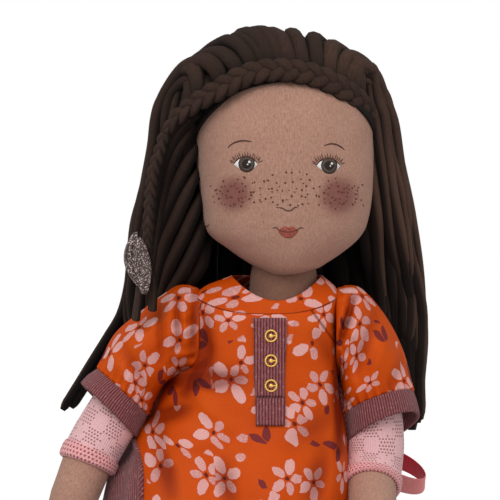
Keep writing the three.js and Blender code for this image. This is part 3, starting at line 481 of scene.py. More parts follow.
def printed(name, chunks, material):
    """One colour of the face's print."""
    made = make(name, chunks, material)
    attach(made, "head")
    return made


def disc(at, radius, lift, rings=4, every=1):
    """A round spot of ink."""
    turn = circle(28)[::every]
    return inked(np.array(at) + radius * np.stack([np.cos(turn), np.sin(turn)], -1), lift, rings)


EYES = ((-10.7, 203.2), (30.6, 202.4))
LID = np.array([(-6.5, -0.1), (-4.8, 1.9), (-2.2, 3.2), (0.5, 3.4), (3.0, 2.5), (5.5, 0.1)])
UNDER_EYE = np.array([(3.8, -2.2), (1.5, -3.4), (-1.2, -3.5), (-3.8, -2.4)])
LASHES = 17
BROWS = (
    [(-20.2, 211.2), (-17.6, 213.3), (-13.9, 214.5), (-10.8, 214.5), (-8.0, 214.1)],
    [(27.9, 212.1), (31.0, 213.0), (34.0, 212.8), (36.4, 211.7), (38.4, 210.3)],
)
NOSE = [(3.9, 181.3), (6.8, 180.9), (8.6, 180.0), (10.2, 179.5), (11.9, 180.1), (13.6, 181.4), (14.9, 180.9)]
MOUTH = [(2.3, 170.9), (4.0, 171.2), (5.6, 170.0), (7.6, 169.2), (10.2, 169.0), (12.8, 169.4), (15.0, 170.4),
         (16.4, 171.2), (17.8, 170.8)]
LIPS = [(5.1, 169.5), (6.6, 170.8), (8.3, 171.9), (10.2, 171.2), (12.1, 171.9), (13.7, 170.9), (15.2, 169.8),
        (13.7, 167.6), (12.0, 166.3), (10.2, 165.9), (8.2, 166.3), (6.6, 167.5)]
JAW_MARK = [(-32.6, 172.6), (-31.2, 171.9), (-29.4, 172.9)]

whites, irises, rims, pupils, lights, lines = [], [], [], [], [], []
turn = circle(28)
for at in np.array(EYES):
    whites.append(inked(at + round_curve(np.concatenate([LID, UNDER_EYE]), 40, closed=True), 0.14))
    for radius, lift, chosen in ((4.15, 0.2, rims), (3.75, 0.24, irises), (2.3, 0.28, pupils)):
        outline = np.stack([radius * np.cos(turn), radius * np.sin(turn) - 0.2], -1)
        outline[:, 1] = np.minimum(outline[:, 1], 3.1 - 0.06 * (outline[:, 0] - 0.3) ** 2)
        chosen.append(inked(at + outline, lift))
    for shift, radius in (((1.35, 0.75), 0.62), ((0.55, -0.45), 0.36)):
        lights.append(disc(at + shift, radius, 0.33, 3))
    lines.append(stroke(at + LID, 1.05, 0.3, 0.5))
    for k in range(LASHES):
        a = math.radians(176 - 168 * k / (LASHES - 1))
        reach = 1 + 0.09 * math.sin(k * 2.4)
        root = at + (6.2 * math.cos(a) - 0.4, 3.1 * math.sin(a) ** 0.8 + 0.1)
        tip = at + (8.0 * reach * math.cos(a + 0.04) - 0.3, 5.0 * reach * math.sin(a) + 0.7)
        lines.append(stroke([root, (root + tip) / 2 + (0.1 * math.cos(a), -0.12), tip], 0.52, 0.24, 0.3, 6))
lines += [stroke(brow, 1.0) for brow in BROWS]
lines += [stroke(NOSE, 0.75, count=26), stroke(MOUTH, 0.6, 0.34, count=30), stroke(JAW_MARK, 0.8, count=8)]

white_ink = ink("white ink", colour(232, 226, 222), colour(250, 247, 244))
pupil_ink = ink("black brown ink", colour(34, 26, 24), colour(50, 40, 36))
printed("eye_whites", whites, white_ink)
printed("iris_rims", rims, pupil_ink)
printed("irises", irises, ink("grey brown ink", colour(66, 54, 48), colour(98, 84, 76)))
printed("pupils", pupils, pupil_ink)
printed("eye_lights", lights, white_ink)
printed("lips", [inked(round_curve(LIPS, 48, closed=True), 0.2)],
        ink("terracotta ink", colour(138, 66, 56), colour(176, 96, 82)))
printed("pen_lines", lines, ink("dark brown ink", colour(66, 40, 34), colour(98, 64, 52)))

# About a hundred freckles lie over the nose and cheeks, scattered by a jittered grid, and twenty finer
# ones round each cheek's blush.
rng = np.random.default_rng(11)
across, up = (a.ravel() for a in np.meshgrid(np.linspace(-27.5, 46.5, 23), np.linspace(183.2, 197.6, 6)))
x = across + rng.uniform(-1.5, 1.5, across.size) + 1.6 * (np.round(up) % 2)
z = up + rng.uniform(-1.4, 1.4, across.size)
keep = rng.random(across.size) < np.where(z > 192.5, 0.6, 0.92)
keep &= z < 195.5 + 6 * np.exp(-((x - 9) / 17) ** 2)
for eye, _ in EYES:
    keep &= np.hypot((x - eye) / 1.35, z - 203) > 6.3
radii = rng.uniform(0.34, 0.58, keep.sum())
dots = [disc(at, radius, 0.18, 2, 3) for *at, radius in zip(x[keep], z[keep], radii)]
fine = np.random.default_rng(23)
for cheek in (-17.0, 36.0):
    away, way = np.sqrt(fine.uniform(0.02, 1, 20)), fine.uniform(0, 2 * pi, 20)
    x, z = cheek + 10.5 * away * np.cos(way), 188.2 + 8 * away * np.sin(way)
    dots += [disc(at, radius, 0.18, 2, 3) for *at, radius in zip(x, z, fine.uniform(0.3, 0.46, 20))]
printed("freckles", dots, ink("freckle ink", colour(92, 54, 43), colour(118, 74, 60)))

# Section: neck
# A stuffed neck of the same jersey, sewn into the trunk and under the chin; its colours are darker, as
# painted shade under the chin.
NECK_ROWS = [[126, 15.5], [133, 17.6], [139, 17.3], [147, 16.8], [155, 15.0], [166, 12.6]]
z = np.concatenate([np.linspace(126, 150, 18), np.linspace(151, 165, 12)])
radius = along(NECK_ROWS, z)[:, 0]
angle = circle(64)[:, None]
points = spread(8 + radius * np.cos(angle), NECK_Y + radius * np.sin(angle), z)
uv = spread(np.linspace(0, 2 * pi, 65)[:, None] * 0.017, z * 0.001)
neck = make("neck_stuffed", [capped(points, uv)], shaded_neck_jersey)
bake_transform(neck)
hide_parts("neck")


# Section: cap under the hair
# A close cap of the dark brown hair jersey, sewn to the head along the hairline, coloured darker as painted
# shade between the strands and under the braid.
# The strands are stitched through it.
def tinted_and_shaded_strands(base):
    """Each strand darker by its own random shade of brown and by painted shade on the deeper layers, or
    lighter by painted light where its number is below 0, and dark in its grooves by painted shade.
    """
    tone_and_painted_light = mark(base.tree, "tone_and_painted_light")
    # painted light: the lit strands are mixed towards a lighter brown
    base = blended(calc("MULTIPLY", tone_and_painted_light, -1.0, clamp=True), base, colour(116, 86, 71))
    # painted shade: deeper strands darker, and the grooves between strands nearly black
    return blended(mark(base.tree, "groove"), blended(tone_and_painted_light, base, colour(24, 16, 13)), colour(7, 5, 4))


hair_jersey = knitted("dark brown hair jersey", colour(43, 29, 23), colour(88, 63, 52), 0.0007, 0.4, 0.3,
                      roughness=0.95, sheen=0.0, tint=tinted_and_shaded_strands)
# The cap is coloured far darker than the strands: painted shade in the gaps between strands and under the
# braid.
shaded_cap_jersey = knitted("dark brown cap jersey", colour(16, 11, 9), colour(32, 23, 19), 0.0007, 0.5, 0.35,
                     sheen=0.0)
# [degrees from the middle of the face, height of the hairline]
HAIRLINE = [[0, 243.6], [20, 241.3], [36, 237.6], [54, 229.0], [75, 218], [90, 207], [110, 184],
            [130, 168], [180, 162]]
turn = circle(128)
hairline = along(HAIRLINE, np.degrees(np.abs((turn + pi / 2 + pi) % (2 * pi) - pi)))
down = np.linspace(0, 1, 40)
z = 260.4 - (260.4 - hairline) * down ** 1.4
points = np.concatenate([head_ring(z, turn[:, None], 1.7), head_ring(z[:, ::-1], turn[:, None], -0.8)], 1)
points[:, :40, 2] += 1.2 * (1 - down) ** 2
uv = spread(np.append(turn, 2 * pi)[:, None] * 0.04, np.linspace(0, 0.2, 80))
cap = make("hair_cap", [capped(points, uv)], shaded_cap_jersey)
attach(cap, "head")

# Section: strands of hair
# Rolled strips of thin jersey, 7 to 11 mm wide and cut blunt, stitched down under the front braid.
# They run up over the crown and hang round the sides and back.
# [height, reach on the doll's right, on its left, front edge, back], from the trunk's middle line
HAIR_ROWS = [
    [60, 70, 81, 33, 50], [66, 70, 82, 33, 50], [99, 73, 82.5, 33, 51], [120, 74, 83.5, 31, 52],
    [132, 75, 83.5, 30, 53], [146, 74, 81.5, 28, 55], [158, 72.6, 79, 14, 56], [170, 71.3, 77, 3, 57],
    [184, 68.5, 74.7, -6, 57.5], [200, 64.2, 71.4, -12, 57.5], [212, 61.6, 69, -14, 57],
    [224, 60.6, 67.2, -14.5, 55.5], [236, 57.6, 63.6, -14, 52],
]
# [share of the way out from the crown's middle, height]
CROWN_RISE = [[0, 272.8], [0.12, 272.6], [0.34, 270.4], [0.53, 266.2], [0.7, 260.4], [0.855, 253.2],
              [0.943, 245.8], [1, 236.5]]


def curtain_point(degrees, z, inside):
    """A place in the hanging hair, by the angle from the doll's left side round its back, the height,
    and how far inside the hair's outer face."""
    a = np.radians(degrees)
    right, left, front, back = columns(HAIR_ROWS, z)
    side = np.where(np.cos(a) > 0, left, right)
    middle = np.minimum(front + 15, 36)
    before = np.sin(a) < 0
    deep = np.maximum(2, np.where(before, middle - front - 0.3 * inside, back - middle - inside))
    x = powered(np.cos(a), 0.85) * (side - inside)
    return spread(x, TRUNK_Y + middle + powered(np.sin(a), 0.85) * deep, z)


def step(value, low, high):
    """A smooth step from 0 at low to 1 at high."""
    t = np.clip((value - low) / (high - low), 0, 1)
    return t * t * (3 - 2 * t)


def crown_point(x, y, inside):
    """A place on the crown above a point of its plan: a dome over a rounded oblong."""
    wide = np.where(x > 2, 63.2, 57.3) - inside
    deep = np.where(y < NECK_Y, 42, 52) - inside
    out = (np.abs((x - 2) / wide) ** 2.2 + np.abs((y - NECK_Y) / deep) ** 2.2) ** (1 / 2.2)
    return np.stack([x, y, along(CROWN_RISE, out)[..., 0] - inside], -1)


def run_along(path):
    """The distance along a path at each of its points."""
    pieces = np.linalg.norm(np.diff(path, axis=0), axis=-1)
    return np.concatenate([np.zeros((1, *pieces.shape[1:])), np.cumsum(pieces, 0)])


def sampled(path, run, places):
    """The points of a path at places along it, where run is the distance to each of its own."""
    return np.stack([np.interp(places, run, values) for values in path.T], -1)


HEAD_CORE = (3.5, -4, 205)


def across_and_away(lines, core):
    """Directions at right angles to lines: one that lies flat on the hair, and one away from the core
    of the head, or level with the line where that is lower than the core."""
    ahead = unit(np.gradient(lines, axis=0))
    across = unit(np.cross(ahead, lines - spread(core[0], core[1], np.minimum(lines[..., 2], core[2]))))
    return across, np.cross(across, ahead)


def tubes(lines, half_width, half_depth, tone_and_painted_light=0.0, sides=10, squareness=0.9, core=HEAD_CORE, root_shade=0.0):
    """Chunks of round-edged tubes along lines [step, strand, xyz], and each point's shading: its strand's own
    shade with painted light and shade, and the painted shade of the groove beside it.
    Each section is an oblong that lies flat on the hair: its short axis points away from the core.
    Near its root, where it tucks under the braid, a strand is painted as dark as in a groove, as painted
    shade: rooted * exp(-(length / 9)^2)."""
    lines = np.asarray(lines, float)
    steps, count = lines.shape[:2]
    across, away = across_and_away(lines, core)
    a = circle(sides)
    half_width, half_depth = (np.broadcast_to(np.asarray(v, float), (steps, count))[..., None, None]
                              for v in (half_width, half_depth))
    ring = (powered(np.cos(a), squareness)[:, None] * across[:, :, None] * half_width
            + powered(np.sin(a), squareness)[:, None] * away[:, :, None] * half_depth)
    points = lines[:, :, None] + ring
    length = run_along(lines)
    chunks = []
    for k in range(count):
        around = np.arange(sides + 1) / sides * 2 * pi * half_width[0, k, 0, 0] * 0.001 + 0.013 * k
        uv = spread(around[:, None], length[:, k] * 0.001 + 0.031 * k)
        chunks.append(capped(points[:, k].transpose(1, 0, 2), uv))
    looks = np.zeros((count, sides * steps + 2, 2))
    tone_and_painted_light = np.broadcast_to(tone_and_painted_light, count)[:, None]
    # A number below 0, which is lighter, is painted light, and comes in only as the strand hangs below the
    # crown
    tone_and_painted_light = np.where(tone_and_painted_light < 0, tone_and_painted_light * step(-lines[..., 2].T, -232, -178), tone_and_painted_light)
    looks[:, :sides * steps, 0] = np.tile(tone_and_painted_light, (1, sides))
    looks[:, sides * steps:, 0] = tone_and_painted_light[:, -1:]
    # painted shade along each tube's sides, in the groove against its neighbours
    beside = np.clip((0.72 - np.sin(a)) / 0.75, 0, 1)
    # painted shade at the root, where the strand tucks under the braid
    root = np.tile(root_shade * np.exp(-(length.T / 9) ** 2), (1, sides))
    looks[:, :sides * steps, 1] = np.maximum(np.repeat(beside, steps) * 0.92, root)
    return chunks, looks.reshape(-1, 2)


def haired(name, sets):
    """A piece of hair from sets of tubes, marked with each strand's own shading (its random shade, with
    painted light and shade) and the painted shade of the groove beside it.
    """
    piece = make(name, [chunk for chunks, _ in sets for chunk in chunks], hair_jersey)
    looks = np.concatenate([looks for _, looks in sets])
    paint(piece, "tone_and_painted_light", looks[:, 0])
    paint(piece, "groove", looks[:, 1])
    return piece


def blunt(steps, ends=0.12):
    """A tube's fullness from end to end: full all the way, with its cut ends just rounded."""
    t = np.linspace(0, 1, steps)
    nearest = np.minimum(t, 1 - t) * steps
    return np.clip(0.55 + 0.45 * nearest / (ends * 12), 0, 1)[:, None]


HEADBAND_PATH = np.array([
    [55.2, -3, 217.5], [51.8, -9, 227.5], [46, -18, 234], [37.5, -26, 239.6], [26, -29.8, 245.4],
    [13.5, -31, 248.4], [1, -31.3, 249.0], [-10.5, -31.3, 246.6], [-19.7, -30.8, 242], [-29, -28.6, 237],
    [-38, -25.4, 231.6], [-46, -22.2, 225.2], [-50.7, -20.6, 218.4],
]) + (0, TRUNK_Y, 0)
# [angle round the head, how far to the doll's left the strand starts], from its left side to its right
PARTING = np.array([[-44, 46], [0, 38], [45, 27], [90, 12], [135, 2], [160, -6], [180, -13], [200, -23],
                    [224, -39]])
RIM = 236.0
STEPS = 72
rng = np.random.default_rng(5)


def fallen(degrees, inside, ends, start_shift, sink):
    """Lines of strands that start under the front braid, arch over the crown and hang to their ends.
    Every other strand lies deeper on the crown."""
    count = len(degrees)
    sunk = sink * (np.arange(count) % 2)
    x = np.interp(degrees, *PARTING.T)
    from_right = HEADBAND_PATH[::-1]
    start = sampled(from_right, from_right[:, 0], x) + start_shift
    rim = curtain_point(degrees, np.full(count, RIM), inside)
    over_top = np.clip(1.05 - np.abs(start[:, :1] - 8) / 30, 0.08, 1)
    rows = [start - np.array([0, 0, 1.0]) * sunk[:, None]]
    for s in (0.12, 0.3, 0.5, 0.7, 0.87):
        plan = start * (1 - s) + rim * s
        pull = 0.36 * math.sin(pi * s) * over_top
        plan = plan + (np.array([3, 2, 0]) - plan) * pull
        plan[:, 0] -= 6 * math.sin(pi * min(1, 1.5 * s)) * over_top[:, 0]
        over = crown_point(plan[:, 0], plan[:, 1], inside + sunk * (1 - s) ** 0.5)
        risen = over_top[:, 0] + (1 - over_top[:, 0]) * step(s, -0.3, 0.35)
        over[:, 2] = start[:, 2] + (over[:, 2] - start[:, 2]) * risen
        rows.append(over)
    rows.append(rim)
    for s in (0.08, 0.2, 0.36, 0.54, 0.72, 0.87, 1.0):
        sway = 1.6 * np.sin(s * 5 + degrees * 1.7) * s
        z = RIM + (ends - RIM) * s
        rows.append(curtain_point(degrees + sway, z, inside + 0.8 * np.sin(s * 9 + degrees)))
    return round_curve(np.array(rows), STEPS)


def hung(name, sets, *node_names):
    """One piece of hair from layers of strands."""
    # Each strand is painted dark near its root: painted shade where it tucks under the braid.
    piece = haired(name, [tubes(*layer, root_shade=0.85) for layer in sets])
    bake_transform(piece)
    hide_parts(*node_names)


def strand_set(degrees, inside, ends, shift, wide, darker=0.0, sink=3.4):
    """Lines, widths, depths and tones of one layer of strands; the layers below are painted darker, as
    painted shade, and a number below 0 is painted light.
    """
    degrees = np.asarray(degrees, float)
    count = len(degrees)
    lines = fallen(degrees, inside + rng.uniform(-1.0, 1.0, count), np.asarray(ends, float), shift, sink)
    t = np.linspace(0, 1, STEPS)[:, None]
    grown = 0.72 + 0.28 * np.clip(t / 0.3, 0, 1)
    over = 1 + 0.3 * np.clip(1.6 - t / 0.25, 0, 1) * (np.arange(count) % 2 == 0)
    width = wide * rng.uniform(0.88, 1.12, count)[None, :] * grown * over * blunt(STEPS)
    depth = width * rng.uniform(0.72, 0.86, count)
    return lines, width, depth, rng.uniform(0.0, 0.35, count) + darker


# [angle, how low the strands at the left end]
LEFT_ENDS = np.array([[-48, 123], [-40, 121], [-32, 107.5], [-23, 114.5], [-12, 99], [-2, 74], [8, 72],
                      [20, 70], [35, 68], [50, 74]])
left = np.array([-44, -35, -27, -18, -9, 1, 11, 21, 31, 41])
# The outer strands on the doll's left carry painted light, and the deeper layers painted shade.
hung("hair_strands_left", [
    strand_set(left, 3.6, np.interp(left, *LEFT_ENDS.T) + rng.uniform(-3, 3, 10), (0, 3, -1), 4.1, -0.5),
    strand_set(left[:-1] + 5, 9.5, 84 + rng.uniform(-6, 6, 9), (0, 5, -5), 4.0, 0.3),
    strand_set([-40, -28, -16, -4, 10], 15.5, [108, 104, 98, 92, 90], (0, 6, -7), 3.8, 0.65),
], "hair_left")
back = np.linspace(51, 129, 9)
hung("hair_strands_back", [
    strand_set(back, 3.6, 79 + 6 * np.cos(back) + rng.uniform(-3, 3, 9), (0, 3, -1), 4.3, 0.28),
    strand_set(back[:-1] + 4.9, 9.5, 84 + rng.uniform(-5, 5, 8), (0, 5, -5), 4.7, 0.5),
    strand_set(np.linspace(48, 132, 8), 15.0, 88 + rng.uniform(-5, 5, 8), (0, 6, -7), 5.0, 0.65),
], "hair_back")
right = np.array([139, 149, 159, 169, 179, 189, 198, 207, 216, 224])
outer_ends = np.where(right < 162, 86, 119) + rng.uniform(-3, 3, 10)
outer_right = strand_set(right, 3.6, outer_ends, (0, 3, -1), 4.1, 0.28)
inner_ends = np.where(right[:-1] < 162, 88, 121) + rng.uniform(-3, 3, 9)
inner_right = strand_set(right[:-1] + 5, 9.5, inner_ends, (0, 7, -2.5), 4.4, 0.55, sink=1.2)
hung("hair_strands_right", [outer_right, inner_right], "hair_right", "hair_crown")

# Eight strands are drawn back from the right temple, behind the side braid.
TEMPLE = np.array([
    [[-27, -25, 239], [-31.5, -29, 235.8], [-36.5, -32.6, 232], [-43, -34, 226.6],
     [-51, -31, 213], [-56, -26, 190], [-60, -18, 165], [-63, -6, 145]],
    [[-30, -24, 232.5], [-34, -28.5, 229], [-39, -32, 225.4], [-46, -32, 218.6],
     [-52, -29, 205], [-56, -24, 185], [-60, -16, 163], [-62, -4, 142]],
    [[-32, -20, 226], [-36, -25, 222.6], [-40.5, -28.5, 217.6], [-46.3, -29, 209.4],
     [-51, -26, 196], [-54, -22, 178], [-57, -14, 158], [-59, -3, 140]],
    [[-26, -6, 215], [-33, -18, 214.5], [-38, -26, 208], [-43, -26.5, 199],
     [-48, -25, 189], [-53, -21, 176], [-56, -14, 160], [-59, -4, 142]],
    [[-25.5, -4, 203], [-32.5, -16, 202.5], [-37, -24, 196], [-42, -25, 186],
     [-47, -23, 175], [-52, -19, 164], [-55, -12, 152], [-57, -3, 140]],
    [[-24.5, -1, 191], [-31.5, -13, 190.5], [-35, -21, 184], [-39, -22, 175],
     [-43.5, -20, 165], [-48.5, -16, 155], [-52, -9, 146], [-54, -2, 137]],
    [[-23, 3, 179], [-30, -9, 178.5], [-33, -17, 172], [-36, -18, 164],
     [-40.5, -16, 154], [-45, -12, 146], [-50, -6, 139], [-53, 0, 133]],
    [[-21, 10, 169], [-28, -2, 168.5], [-31, -10, 161], [-33.5, -11, 153],
     [-38, -9, 146], [-43, -5, 139.5], [-48, 0, 134], [-51, 5, 130]],
])
lines = round_curve(TEMPLE.transpose(1, 0, 2), 48)
width = 4.7 * np.interp(np.linspace(0, 1, 48), [0, 0.12, 0.4, 1], [0.4, 0.5, 1, 0.95])[:, None] * blunt(48)
temple = haired("hair_temple_strands", [tubes(lines, width, width * 0.72, tone_and_painted_light=rng.uniform(0.3, 0.6, 8))])
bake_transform(temple)

# A few strands have swung out behind the raised arm.
LOOSE = np.array([
    [[-70, 18, 158], [-71.5, 20, 142], [-75.5, 22, 127], [-82.5, 23, 115],
     [-90, 24, 103], [-98, 25, 90], [-105.8, 25, 77.5]],
    [[-67, 22, 156], [-68.5, 25, 141], [-72, 26, 127], [-78.5, 27, 115],
     [-86, 27, 103], [-94, 27, 90], [-101.4, 27, 78.5]],
    [[-64, 20, 150], [-65.5, 22, 138], [-69, 23, 127], [-74.5, 24, 117],
     [-80, 25, 108], [-86, 25, 99], [-90.5, 25, 92]],
])
lines = round_curve(LOOSE.transpose(1, 0, 2), 40)
width = np.array([3.0, 2.9, 2.5]) * blunt(40)
loose = haired("loose_strands_behind_arm", [tubes(lines, width, width * 0.8, tone_and_painted_light=[0.3, 0.5, 0.6])])
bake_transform(loose)
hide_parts("loose_strands")

# Section: braids
# A flat three-strand plait is pinned over the front of the hair; from its end a narrower one hangs
# beside the face, tied with a ribbed glitter-felt leaf bow, with two cut tails below.
def plait(name, path, reach, thick, radius, lobe, body, node_name, core=HEAD_CORE):
    """Three strands along a path, each swinging from side to side once in three lobes while it swings
    twice as fast towards and away from the head, so that each passes over the next."""
    path = round_curve(path, 400)
    run = run_along(path)
    steps = int(run[-1] * 3)
    s = np.linspace(0, run[-1], steps)
    middle = sampled(path, run, s)
    across, away = across_and_away(middle, core)
    grown = np.interp(s / run[-1], [0, 0.08, 0.3, 0.7, 0.93, 1], reach)[:, None]
    phases = [(2 * pi * (s / (3 * lobe) + k / 3))[:, None] for k in range(3)]
    lines = [middle + grown * (across * np.sin(phase) + away * thick * np.sin(2 * phase)) for phase in phases]
    piece = haired(name, [tubes(np.stack(lines, 1), grown * radius, grown * radius * 0.8, sides=12,
                                tone_and_painted_light=[0.3, 0.36, 0.42], squareness=0.85, core=core)])
    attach(piece, body)
    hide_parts(node_name)


plait("headband_plait", HEADBAND_PATH, [2.4, 3.0, 3.4, 3.3, 2.6, 1.9], 0.38, 0.86, 7.4,
      "head", "headband_braid", core=(3.5, -4, 238))
BRAID_PATH = np.array([
    [-51.3, -20.6, 217.6], [-53.8, -21, 208.6], [-56.5, -22.5, 200], [-58, -23.5, 189], [-58.8, -24, 178.5],
    [-59.3, -24, 167.5], [-59.8, -24, 158], [-60.4, -24, 149.5],
]) + (0, TRUNK_Y, 0)
plait("side_plait", BRAID_PATH, [2.3, 2.4, 2.4, 2.2, 1.95, 1.7], 0.4, 0.88, 5.6, "braid", "side_braid")


def pad(top, foot, width, bow_out, depth, ribs, y):
    """One lobe of the leaf bow: a long pointed pad between two tips that bows sideways, with ribs
    sewn along it and a rounded back."""
    t = np.linspace(0, 1, 40)[:, None]
    middle = np.array(top) * (1 - t) + np.array(foot) * t
    full = np.sin(pi * np.clip(t * 0.94 + 0.03, 0, 1)) ** 0.55
    a = circle(48)
    ridge = 1 + 0.2 * np.cos(ribs * np.cos(a) * pi) * full
    x = middle[:, :1] + bow_out * np.sin(pi * t) + width / 2 * full * powered(np.cos(a), 0.8)
    points = spread(x, y + middle[:, 1:2] - depth / 2 * full * powered(np.sin(a), 0.8) * ridge, middle[:, 2:])
    uv = spread(np.linspace(0, 0.03, 49)[:, None], np.linspace(0, 0.03, 40))
    return capped(points.transpose(1, 0, 2), uv)


glitter_felt, tree, shader = finish_of("glitter felt", 0.55, Specular_IOR_Level=0.5)
place = in_object(tree)
sparks = node(tree, "ShaderNodeTexVoronoi", {"Vector": place, "Scale": 2500.0})
bright, dull, tilt = split(sparks["Color"], "ShaderNodeSeparateColor")
glint = between(bright, 0.80, 0.86)
base = blended(noise(place, 700.0, 3.0), colour(40, 28, 27), colour(112, 88, 82))
base = blended(glint, base, colour(240, 224, 218))
base = blended(between(dull, 0.18, 0.30, 1, 0), base, colour(34, 22, 22))
surfaced(shader, base, tilt, 0.6, 0.0004)
give(glint * 0.5, shader.inputs["Metallic"])
leaf = make("leaf_bow_pads", [
    pad((-65.6, 0, 169.0), (-64.4, 0, 142.5), 6.4, -3.4, 4.6, 3, -45.6),
    pad((-64.2, -1.8, 166.5), (-61.4, -1.4, 138.0), 8.0, 0.9, 6.0, 4, -46.8),
], glitter_felt)
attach(leaf, "braid")
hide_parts("leaf_bow")

TAILS = np.array([
    [[-61.5, -40.5, 151], [-63.2, -41.2, 145], [-64.2, -41.4, 137], [-65.2, -41.2, 130],
     [-65.8, -41.0, 124.6]],
    [[-58.6, -40.5, 151], [-57.2, -41.0, 146], [-57.0, -41.2, 140], [-57.3, -41.0, 134],
     [-57.6, -40.8, 129.4]],
])
for name, tail in zip(("braid_tail_1", "braid_tail_2"), TAILS):
    full = blunt(30, 0.05)
    width = np.interp(np.linspace(0, 1, 30), [0, 0.3, 1], [1.8, 2.8, 3.3])[:, None] * full
    lines = round_curve(tail[:, None], 30)
    piece = haired(name + "_cut_end", [tubes(lines, width, 1.5 * full, squareness=0.7, tone_and_painted_light=[0.3])])
    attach(piece, "braid")
    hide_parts(name)

# Section: blouse
# An A-line blouse of orange cotton sateen printed with small sprigs; its back and side panels are
# plum marl knit, sewn to the front with a rolled knit piping. The neckline is faced and topstitched.
HEM_Z, ARMPIT_Z, NECKLINE_Z = 32.6, 96.7, 146.7
# [height, reach on the doll's left, on its right, front, back, shift, squareness]
BLOUSE_ROWS = [
    [32.6, 41.5, 80, 52, 46, 0, 0.85], [46.7, 41, 77, 45, 41, 0, 0.8],
    [55, 40.5, 75, 41.5, 38.4, 0, 0.77], [61.4, 40, 73, 38, 36, 0, 0.75],
    [70, 39.4, 69.5, 35.2, 33.9, 0, 0.72], [77.5, 38.2, 62, 33, 32, 0, 0.7],
    [84, 36.8, 57.5, 31.8, 31, 0, 0.67], [90, 35.8, 54, 31, 30, 0, 0.65],
    [95, 35.2, 50, 30.4, 29.2, 0, 0.6], [98.5, 35.2, 45, 30, 29, 0, 0.6],
    [102, 35.2, 38.5, 29.6, 28.8, 0, 0.6], [119, 35.2, 37.6, 28.5, 28, 0, 0.6],
    [135.7, 36.2, 37.6, 26, 26, 0, 0.7], [141.7, 32.6, 32.6, 24.5, 24.5, 1, 0.9],
    [146.7, 23.2, 23.2, 22.5, 22.5, 4.4, 1],
]
# Angle from the front of the seam between front and side panel, by height, for each side
FRONT_SEAMS = {
    -1: [[32.6, 47.5], [46, 49], [54, 52], [61, 59], [67, 71], [72, 74], [80, 80], [93.7, 89]],
    1: [[32.6, 84], [80, 86], [93.7, 89]],
}
# Soft folds of the front: [x, z at one end, x, z at the other, width, height outwards]
FRONT_FOLDS = np.array([
    [-52, 94, -14, 96, 5, -3.0], [-37, 88, -20, 72, 5, 2.4], [-62, 74, -38, 82, 4, -2.6],
    [-52, 60, -28, 66, 6, 2.2], [-48, 40, -54, 70, 5, -2.4], [-34, 34, -34, 62, 6, 2.0],
    [-18, 34, -24, 56, 5, -1.8], [2, 34, -6, 50, 7, 1.7], [20, 34, 30, 60, 6, -1.8],
    [32, 40, 36, 70, 5, 1.2], [24, 118, 35, 100, 4, -1.1], [-31, 128, -30, 100, 3.4, -2.2],
    [12, 66, 34, 78, 6, -1.2], [-30, 112, -40, 100, 5, -2.0], [38, 96, 40, 66, 4, -2.0],
])
# Where the sleeves fall over the front and keep it in shadow
UNDER_SLEEVES = [[34.5, 122, 35.5, 60, 3.0, -3.0], [-29, 108, -42, 88, 4.2, -2.8]]


def beside(x, z, line):
    """How far along a straight line [x, z at one end, x, z at the other] a place lies, as a share of
    it, and how far off it."""
    x0, z0, x1, z1 = line
    t = ((x - x0) * (x1 - x0) + (z - z0) * (z1 - z0)) / ((x1 - x0) ** 2 + (z1 - z0) ** 2)
    on = np.clip(t, 0, 1)
    return t, np.hypot(x - x0 - on * (x1 - x0), z - z0 - on * (z1 - z0))


def folded(x, z, folds):
    """How far cloth stands out at a place: each fold is a bell across its line that fades at both ends."""
    out = 0.0
    for *line, width, height in folds:
        t, off = beside(x, z, line)
        out = out + height * np.exp(-(off / width) ** 2) * np.clip(1.15 - np.abs(t - 0.5) * 1.3, 0, 1)
    return out


def shading(points, folds, deepest):
    """How far each place lies down in a fold, from 0 to 1."""
    return np.clip(-folded(points[..., 0], points[..., 2], folds) / deepest, 0, 1)


def blouse_point(angle, z, inside=0.0):
    """The blouse's cloth by the angle round the doll from its front, and the height: a rounded oblong
    that flares below the armpits, with waves at the hem and a neckline that dips in front."""
    left, right, front, back, shift, square = columns(BLOUSE_ROWS, z)
    sine, cosine = np.sin(angle), np.cos(angle)
    loose = 1 - step(z, HEM_Z + 8, ARMPIT_Z - 4)
    held = step(sine, 0.25, 0.75)
    wave = 2.6 * loose * (1 - held) * (np.sin(7 * angle + 0.6) + 0.5 * np.sin(12 * angle + 2))
    side = np.where(sine > 0, left, right)
    deep = np.where(cosine > 0, front, back)
    x = shift + powered(sine, square) * (side - inside + wave * np.abs(sine))
    fold = np.where(cosine > 0, folded(x, z, FRONT_FOLDS) * np.clip(cosine * 1.6, 0, 1), 0)
    behind = 20 * step(z, 45, 62) * (1 - step(z, 92, 101)) * np.clip(-x / right, 0, 1) ** 4
    y = TRUNK_Y - powered(cosine, square) * (deep - inside + wave) - fold + behind
    return spread(x, y, z - 12.3 * np.clip(cosine, 0, 1) ** 2 * step(z, 120, NECKLINE_Z))


def front_seam(z, side):
    """The seam between the front and a side panel, as an angle from the front."""
    return np.radians(along(FRONT_SEAMS[side], z)[..., 0])


def back_seam(z):
    """The seam between a side panel and the back."""
    return np.radians(126 - 35 * step(z, 83.9, 93.7))


def laid_flat(points, centred=False):
    """UV in metres for a grid of cloth: along each row from its start or its middle, and its mean height."""
    run = run_along(points)
    run = run - run[len(points) // 2 if centred else 0]
    return spread(run, points[..., 2].mean(0)) * 0.001


def walled(piece, thickness):
    """Gives cloth its thickness, inwards."""
    wall = piece.modifiers.new("thickness", "SOLIDIFY")
    wall.thickness = thickness * 0.001
    wall.offset = -1.0


